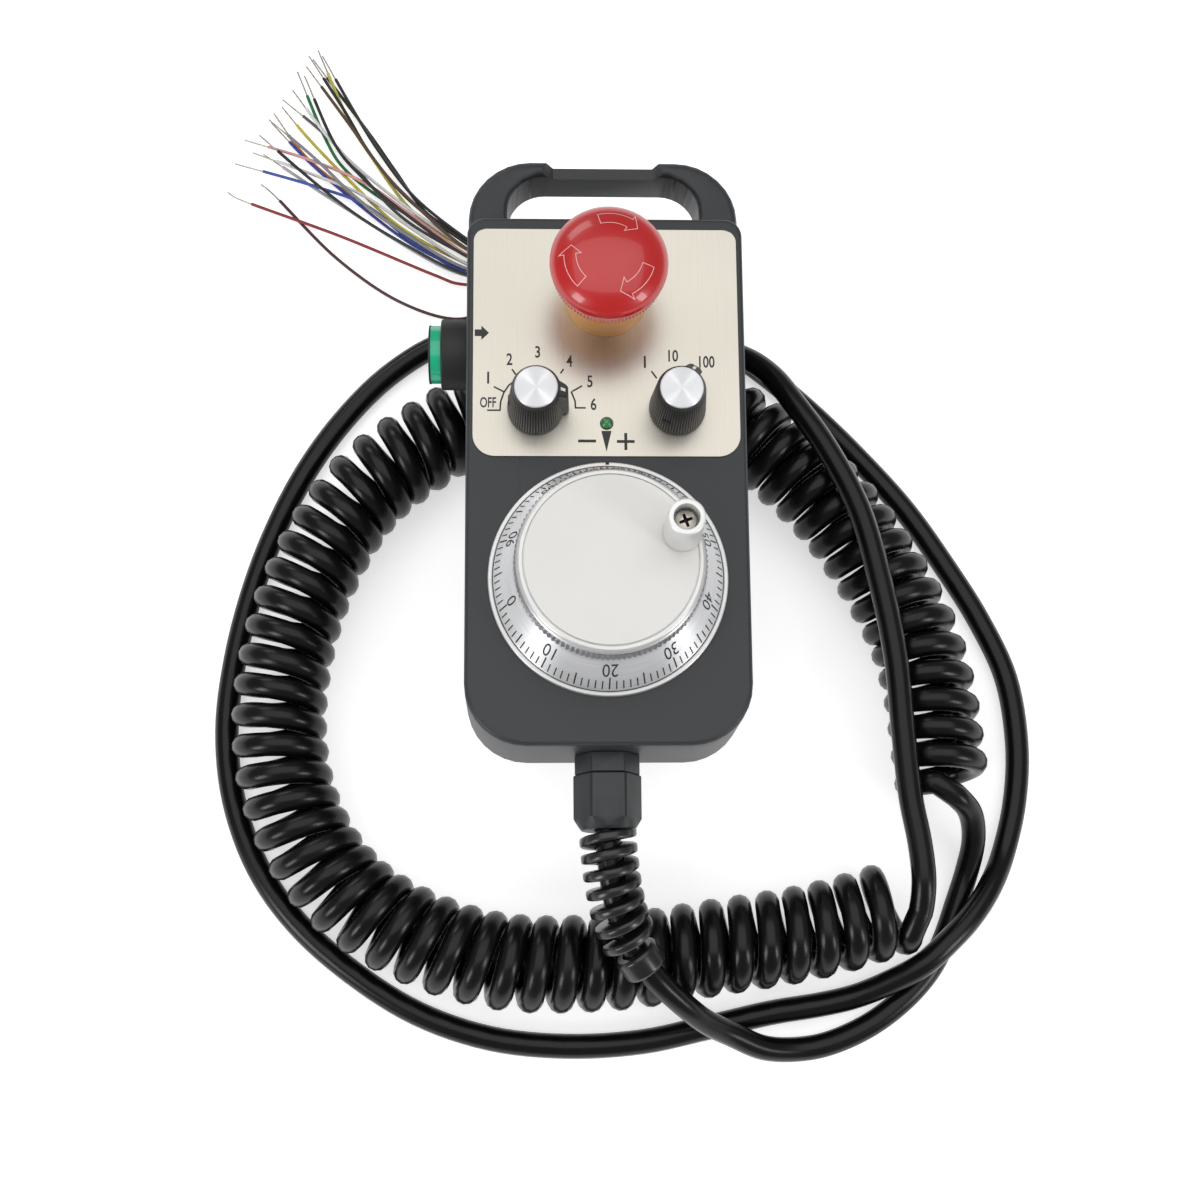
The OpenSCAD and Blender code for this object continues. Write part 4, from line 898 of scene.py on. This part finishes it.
# ---------------------------------------------------------------- the emergency stop
# A glossy red mushroom head that latches when it is pushed and lets go with a clockwise
# turn, shown by three outlined arrows. A yellow collar stands between it and the plate.
stop_y = 74.5
stop_spot = Matrix.Translation((0, stop_y, 0))
skirt_low = face_z + 19
skirt_r = 14.0
skirt_top = skirt_low + 3.1
widest_z = skirt_low + 4.3
mushroom_r = 14.7
crown = face_z + 30 - widest_z
red = Finish("stop_red", {"IOR": 1.5, "Coat Weight": 0.5, "Coat Roughness": 0.05})
red.tones(red.noise(60.0), "B01012", "C01619")
red.gloss(0.26, 0.1, red.noise(300.0, 3.0))
dome = [(mushroom_r * math.cos(a), widest_z + crown * math.sin(a))
        for a in map(math.radians, range(3, 88, 4))]
turned("stop_head", [(0, skirt_low + 2), (12.3, skirt_low + 2, 0.2), (12.7, skirt_low, 0.2),
                     (skirt_r, skirt_low, 0.3), (skirt_r, skirt_low + 2.9, 0.1),
                     (14.55, skirt_low + 3.2, 0.2), (mushroom_r, widest_z), *dome, (0, widest_z + crown)],
       red, stop_spot, closed=False, around=128, crease=40,
       body="stop_head", node="estop_head")

neck_low = skirt_low - 10.3
neck_step = skirt_low - 7.5
neck_top = skirt_low + 1.96
turned("stop_neck", [(0, neck_low), (6.4, neck_low, 0.2), (6.4, neck_step), (7.8, neck_step, 0.3),
                     (7.8, neck_top), (0, neck_top)],
       red, stop_spot, closed=False, around=96, body="stop_plunger")
stem_r = 4
stem_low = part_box("estop_stem")[0].z / mm
stem_top = neck_low + 0.05
turned("stop_stem", [(0, stem_low), (stem_r, stem_low, 0.3), (stem_r, stem_top), (0, stem_top)],
       plated, stop_spot, closed=False, around=48,
       body="stop_plunger", node="estop_stem")

serration_count = 96
rib = math.pi / serration_count
serration = strip_mesh([
    [(skirt_r - 0.03, -rib, height), (skirt_r + stand, 0, height), (skirt_r - 0.03, rib, height)]
    for stand, height in ((0.1, skirt_low + 0.25), (0.25, skirt_low + 0.5), (0.25, skirt_low + 2.8),
                          (0.1, skirt_top))])
joined("stop_serrations", [(ring_mesh(serration, serration_count, red), lambda p: stop_spot @ p)],
       red, body="stop_head", node="estop_head")


def on_dome(p):
    """Lays a flat sign on the crown of the head."""
    height = widest_z + crown * math.sqrt(max(0.0, 1 - (p.x * p.x + p.y * p.y) / mushroom_r ** 2))
    return Vector((p.x, p.y + stop_y, height + 0.03))


def round_spot(radius, degrees):
    """The point of a circle at an angle."""
    angle = math.radians(degrees)
    return radius * math.cos(angle), radius * math.sin(angle)


def arc(radius, start, end, steps):
    """Points along a circle from one angle to another, in degrees."""
    return [round_spot(radius, start + (end - start) * i / steps) for i in range(steps + 1)]


def between(a, b):
    """Six even steps from one flat point to another, without the first."""
    return [(a[0] + (b[0] - a[0]) * k / 6, a[1] + (b[1] - a[1]) * k / 6) for k in range(1, 7)]


def arrow(middle):
    """The outline of one clockwise arrow, round a middle angle in degrees."""
    inner, outer, barb, span, point = 8.3, 11.2, 1.3, 30, 14
    tail = middle + span
    neck = middle - span + point
    line = arc(outer, tail, neck, 14)
    corners = [line[-1]]
    for radius, angle in ((outer + barb, neck), ((inner + outer) / 2, middle - span), (inner - barb, neck),
                          (inner, neck)):
        corners.append(round_spot(radius, angle))
    for a, b in zip(corners, corners[1:]):
        line += between(a, b)
    line += arc(inner, neck, tail, 14)[1:]
    return line + between(line[-1], line[0])[:-1]


arrow_ink = Finish("arrow_ink", {"Roughness": 0.4})
arrow_ink.tones(arrow_ink.noise(600.0), "E0A8A4", "EFC3BF")
joined("stop_arrows", [(stroke(arrow(a), 0.17, closed=True), on_dome) for a in (75, -45, 195)], arrow_ink,
       body="stop_head")

collar_in = 8.15
collar_top = skirt_low - 4.3
yellow = Finish("stop_yellow", {"IOR": 1.5})
yellow.tones(yellow.noise(80.0), "CC7E00", "DC8C06")
yellow.gloss(0.25, 0.12, yellow.noise(400.0))
turned("stop_collar", [(collar_in, plate_top), (10.75, plate_top, 0.2), (10.75, plate_top + 3, 0.6),
                       (11.9, collar_top - 1, 0.3), (12.5, collar_top - 0.6, 0.2), (12.3, collar_top, 0.15),
                       (collar_in, collar_top)],
       yellow, stop_spot, around=96, node="estop_collar")

# ---------------------------------------------------------------- the inner pieces
# The encoder, the switch bodies and the lamp holder are dark moulded plastic, and the stop's
# contact block is red. The two circuit boards are green, with their tracks a little paler.
dark_plastic = Finish("dark_plastic", {"IOR": 1.5})
dark_plastic.tones(dark_plastic.noise(150.0), "26282B", "33363A")
dark_plastic.gloss(0.45, 0.15, dark_plastic.noise(500.0))
coat(dark_plastic, "estop_bushing", "encoder_body", "axis_switch", "multiplier_switch", "enable_switch",
     "lamp_holder")
coat(red, "estop_contacts")
board = Finish("board_green", {"IOR": 1.5, "Roughness": 0.35})
tracks = board.node("TexBrick", {}, {
    "Vector": board.place(), "Scale": 220.0, "Color1": paint("1C5A38"), "Color2": paint("226B42"),
    "Mortar": paint("2F7D50"), "Mortar Size": 0.05})
board.feed({"Base Color": tracks})
coat(board, "encoder_board", "terminal_board")

# ---------------------------------------------------------------- the two selectors
# Ribbed black knobs, each locked on its switch shaft by one slotted set screw. A fin points
# at the chosen number, and a spun aluminium cap closes the top.
selector_x = 18
selector_y = 44.5
knob_low = plate_top + 0.3
knob_top = knob_low + 16
cap_seat = knob_low + 15.6
cap_top = knob_low + 16.25
cap_r = 5.4
rib_top = 15.3
shaft_in = 3
skirt_in = 6.2
screw_up = 6
screw_r = 1.3
knob_black = Finish("knob_black", {"IOR": 1.5})
knob_black.tones(knob_black.noise(90.0), "262627", "323232")
knob_black.gloss(0.34, 0.14, knob_black.noise(300.0, 3.0))
knob_black.feed({"Normal": knob_black.relief(knob_black.noise(3200.0), 0.000012)})
spun_cap = Finish("spun_cap", {"Metallic": 0.8, "Anisotropic": 0.9, "Anisotropic Rotation": 0.25})
spun_cap.tones(spun_cap.noise(100.0), "DADBDD", "ECEDEE")
spun_cap.gloss(0.4, 0.1, spun_cap.noise(2400.0, 2.0, (0.03, 0.03, 1)))
white_line = Finish("white_line", {"Roughness": 0.5})
white_line.tones(white_line.noise(500.0), "D6D6D4", "ECECEA")


def flank(height):
    """The radius of a knob's ribs at a height above its foot."""
    return 7.3 - 1.15 * height / 15.2


def fin_mesh():
    """The pointer fin, a rounded blade that leans back to the cap."""
    mesh = shape_of([(4.65, 0.2), (8.4, 0.2), (8.0, 12.4), (7.6, 13.2), (5.65, rib_top), (4.65, rib_top)])
    shape = bmesh.new()
    shape.from_mesh(mesh)
    bpy.data.meshes.remove(mesh)
    grown = bmesh.ops.extrude_face_region(shape, geom=list(shape.faces))
    for item in grown["geom"]:
        if isinstance(item, bmesh.types.BMVert):
            item.co.z = 1
    for vert in shape.verts:
        half = 2.6 - 0.26 * (vert.co.x - 4)
        vert.co = Vector((vert.co.x, half - 2 * half * vert.co.z, knob_low + vert.co.y))
    bmesh.ops.recalc_face_normals(shape, faces=shape.faces)
    bmesh.ops.bevel(shape, geom=list(shape.edges), offset=0.28, segments=2, affect="EDGES")
    return mesh_of(shape, "fin")


def rib_mesh(half):
    """One rib of a knob, half that angle to each side, faded out at both ends."""
    rows = []
    for height, stand in ((0, 0), (0.25, 0.7), (0.5, 1), (14.6, 1), (15.0, 0.7), (rib_top, 0)):
        root = flank(height) - 0.3
        tip = root + 0.3 * stand
        side = tip - 0.04 * stand
        rows.append([(radius, angle, knob_low + height) for radius, angle in (
            (root, -half), (side, -half * 0.5), (tip, 0), (side, half * 0.5), (root, half))])
    return strip_mesh(rows)


knob_ribs = 62
for name, side, pointer in (("axis", -1, 0), ("multiplier", 1, 60)):
    body = f"{name}_selector"
    spot = Matrix.Translation((side * selector_x, selector_y, 0)) @ Matrix.Rotation(
        math.radians(pointer), 4, "Z")
    ribs = ring_mesh(rib_mesh(math.pi / knob_ribs), knob_ribs, knob_black)
    turned(f"{name}_core", [
        (shaft_in, knob_low + 3.2), (skirt_in, knob_low + 3.2), (skirt_in, knob_low),
        (flank(0) - 0.29, knob_low, 0.2), (flank(rib_top) - 0.29, knob_low + rib_top),
        (flank(16) - 0.5, knob_top, 0.3), (cap_r + 0.05, knob_top, 0.1), (cap_r + 0.05, cap_seat),
        (shaft_in, cap_seat)],
        knob_black, spot, around=72, body=body, node=f"{name}_knob")
    ribbed = joined(f"{name}_ribs", [(mesh, lambda p, spot=spot: spot @ p) for mesh in (ribs, fin_mesh())],
                    knob_black, body=body, node=f"{name}_knob")
    smooth(ribbed.data, 30)

    def on_fin(p, spot=spot):
        return spot @ Vector((p.x, p.y, knob_low + 14.42 - 1.077 * (p.x - 6.5)))

    joined(f"{name}_pointer_line", [(stroke([(6.1, 0), (7.3, 0)], 0.8), on_fin)], white_line,
           body=body)
    turned(f"{name}_cap_spun", [(0, cap_seat), (cap_r, cap_seat), (cap_r, cap_top - 0.2, 0.1),
                                (cap_r - 0.25, cap_top, 0.1), (0, cap_top)],
           spun_cap, spot, closed=False, around=96, body=body, node=f"{name}_cap")
    dress(f"{name}_set_screw", f"{name}_grub_screw", plated, body=body)
    # No hole is cut in the knob: a short black plug on its flank is painted shade for the set screw's hole.
    hole_face = flank(screw_up) + 0.1
    hole_place = spot @ Matrix.Translation((0, 0, knob_low + screw_up)) @ Matrix.Rotation(
        -math.pi / 2, 4, "Y")
    turned(f"{name}_screw_hole_painted_shade", [(0, hole_face - 0.6), (screw_r, hole_face - 0.6), (screw_r, hole_face),
                                  (0, hole_face)],
           black_marks_and_painted_shade, hole_place, closed=False, around=32, body=body)

# ---------------------------------------------------------------- the lamp
# A small clear green lens with a domed end, pressed into the plate from behind. A moulded
# holder grips it inside the housing.
lamp_r = 1.5
lens_foot = face_z - 5
dome_foot = plate_top + 0.4
lamp_y = 40.5
lamp_spot = Matrix.Translation((0, lamp_y, 0))
lamp_green = Finish("lamp_green", {"IOR": 1.49, "Roughness": 0.12, "Coat Weight": 0.5})
lamp_green.tones(lamp_green.noise(700.0), "2C6B3C", "3F8F52")
lens = [(lamp_r * math.cos(a), dome_foot + lamp_r * math.sin(a))
        for a in map(math.radians, range(10, 90, 10))]
turned("lamp_dome", [(0, lens_foot), (lamp_r, lens_foot), (lamp_r, dome_foot), *lens,
                     (0, dome_foot + lamp_r)],
       lamp_green, lamp_spot, closed=False, around=40, crease=50, node="lamp_lens")
turned("lamp_seat", [(lamp_r, plate_top), (lamp_r + 0.2, plate_top), (lamp_r + 0.2, plate_top + 0.2, 0.05),
                     (lamp_r, plate_top + 0.2)], black_marks_and_painted_shade, lamp_spot, around=40)

# ---------------------------------------------------------------- the enable button
# A round green push button on the left wall, inside a deep black collar, so that it is not
# pressed by chance. A thin black rim closes its outer end.
side_z = 42
left_wall = -35.75
enable_y = 64.7
wall_spot = Matrix.Translation((left_wall, enable_y, side_z)) @ Matrix.Rotation(-math.pi / 2, 4, "Y")
button_r = 7.6
collar_hole = 8
guard_r = 9.3
button_green = Finish("button_green", {"IOR": 1.5, "Coat Weight": 0.4, "Coat Roughness": 0.08})
button_green.tones(button_green.noise(70.0, 3.0), "00A97C", "0CC896")
button_green.gloss(0.25, 0.1, button_green.noise(400.0))
collar_black = Finish("collar_black", {"IOR": 1.5})
collar_black.tones(collar_black.noise(90.0), "101011", "1A1A1B")
collar_black.gloss(0.5, 0.1, collar_black.noise(300.0))
turned("button_collar", [(collar_hole, 0), (guard_r, 0), (guard_r, 6.7, 0.3), (guard_r - 0.4, 7, 0.2),
                         (collar_hole, 7)],
       collar_black, wall_spot, around=96, node="enable_collar")
turned("button_rim", [(6.9, 9.7), (7.72, 9.7), (7.72, 10.2, 0.25), (6.9, 10.2, 0.15)],
       collar_black, wall_spot, around=96, body="enable")
turned("button_cap", [(0, -1.9), (3, -1.9), (3, 2.85), (button_r, 2.85), (button_r, 9.75),
                      (6.95, 9.9), (0, 9.9)],
       button_green, wall_spot, closed=False, around=96, body="enable", node="enable_button")

# ---------------------------------------------------------------- the cable gland
# A black nylon gland: its hexagon stands on the lower wall, a seal grips the cable inside,
# and the dome nut runs out into a spiral strain relief, all in one soft moulding.
low_wall = -41.9
gland_spot = Matrix.Translation((0, low_wall, side_z)) @ Matrix.Rotation(math.pi / 2, 4, "X")
gland_black = Finish("gland_black", {"IOR": 1.5})
gland_black.tones(gland_black.noise(80.0, 3.0), "1E1F21", "2A2C2F")
gland_black.gloss(0.3, 0.16, gland_black.noise(260.0, 3.0))
gland_black.feed({"Normal": gland_black.relief(gland_black.noise(2200.0), 0.000015)})
dress("gland_body", "gland_base", gland_black, bevel=0.35)
coat(gland_black, "gland_locknut")


def six_sided(sections, bore):
    """A nut along its place's Z axis: each section is (flats, height, share of roundness)."""
    shape = bmesh.new()
    around = 72
    angles = [2 * math.pi * (k + 0.5) / around for k in range(around)]
    levels = []
    for flats, height, roundness in sections:
        ring = []
        for a in angles:
            flat = flats / 2 / math.cos(a % (math.pi / 3) - math.pi / 6)
            corner = flats / 2 / math.cos(math.pi / 6) * 0.985
            radius = min(flat, corner) * (1 - roundness) + flats / 2 * roundness
            ring.append(shape.verts.new((radius * math.cos(a), radius * math.sin(a), height)))
        levels.append(ring)
    for height in (sections[-1][1], sections[0][1]):
        levels.append([shape.verts.new((bore * math.cos(a), bore * math.sin(a), height)) for a in angles])
    for one, other in zip(levels, levels[1:] + levels[:1]):
        for k in range(around):
            shape.faces.new((one[k], one[(k + 1) % around], other[(k + 1) % around], other[k]))
    bmesh.ops.recalc_face_normals(shape, faces=shape.faces)
    return mesh_of(shape, "gland_dome_nut")


nut_mesh = six_sided([(14.8, 5.15, 0.3), (15.2, 5.5, 0), (15.2, 16.2, 0), (15.0, 17.2, 0.5), (14.4, 18.4, 1),
                      (13.3, 19.1, 1)], 3.6)
nut_mesh.transform(Matrix.Diagonal((mm, mm, mm, 1)) @ gland_spot)
smooth(nut_mesh, 20)
nut_mesh.materials.append(gland_black.material)
settle(linked("gland_dome_nut", nut_mesh), nodes=["spiral_relief"])

relief_bore = 3.56
relief_turns = 6.5
relief_steps = 40
relief_first = 2
relief_last = 7
spiral_first = 0.05
spiral_length = 3.8
relief_line = through(lead_route, relief_steps)[relief_first * relief_steps:relief_last * relief_steps + 1]


def frame_at(line, share):
    """The point, heading and two cross directions at a share of a line."""
    i = share * (len(line) - 1)
    k = min(int(i), len(line) - 2)
    centre = line[k].lerp(line[k + 1], i - k)
    heading = (line[min(k + 2, len(line) - 1)] - line[max(k - 1, 0)]).normalized()
    left = Vector((-heading.y, heading.x, 0)).normalized()
    return centre, heading, left, heading.cross(left)


half_blade = [(relief_bore, 1.5), (5.0, 1.4), (6.6, 1.25), (7.1, 1.0), (7.25, 0.5)]
blade = [(radius, -rise) for radius, rise in half_blade] + half_blade[::-1]
spiral = bmesh.new()
spiral_steps = int(relief_turns * relief_steps)
previous = None
for i in range(spiral_steps + 1):
    share = (spiral_first + spiral_length * i / spiral_steps) / (relief_last - relief_first)
    centre, heading, left, lift = frame_at(relief_line, share)
    angle = 2 * math.pi * i / relief_steps
    out = math.cos(angle) * left + math.sin(angle) * lift
    row = [spiral.verts.new(centre + radius * out + rise * heading) for radius, rise in blade]
    if previous:
        for k in range(len(blade)):
            nxt = (k + 1) % len(blade)
            spiral.faces.new((previous[k], previous[nxt], row[nxt], row[k]))
    else:
        spiral.faces.new(row)
    previous = row
spiral.faces.new(previous[::-1])
bmesh.ops.recalc_face_normals(spiral, faces=spiral.faces)
relief_black = Finish("relief_black", {"IOR": 1.5, "Coat Weight": 0.2, "Coat Roughness": 0.15})
relief_black.tones(relief_black.noise(110.0), "0C0C0D", "171719")
relief_black.gloss(0.24, 0.16, relief_black.noise(240.0, 3.0))
relief = joined("spiral_strain_relief", [(mesh_of(spiral, "spiral"), as_drawn)], relief_black,
                node="spiral_relief")
smooth(relief.data, 50)
centre, heading, left, lift = frame_at(relief_line, 1.0)
collar_place = Matrix.Translation(centre) @ Matrix((lift, left, heading)).transposed().to_4x4()
turned("relief_collar", [(relief_bore, -4), (5.2, -4, 0.3), (5.8, -3.2, 0.4), (5.8, 1.4, 0.4), (5.3, 2, 0.3),
                         (relief_bore, 2)],
       relief_black, collar_place, around=64, node="spiral_relief")
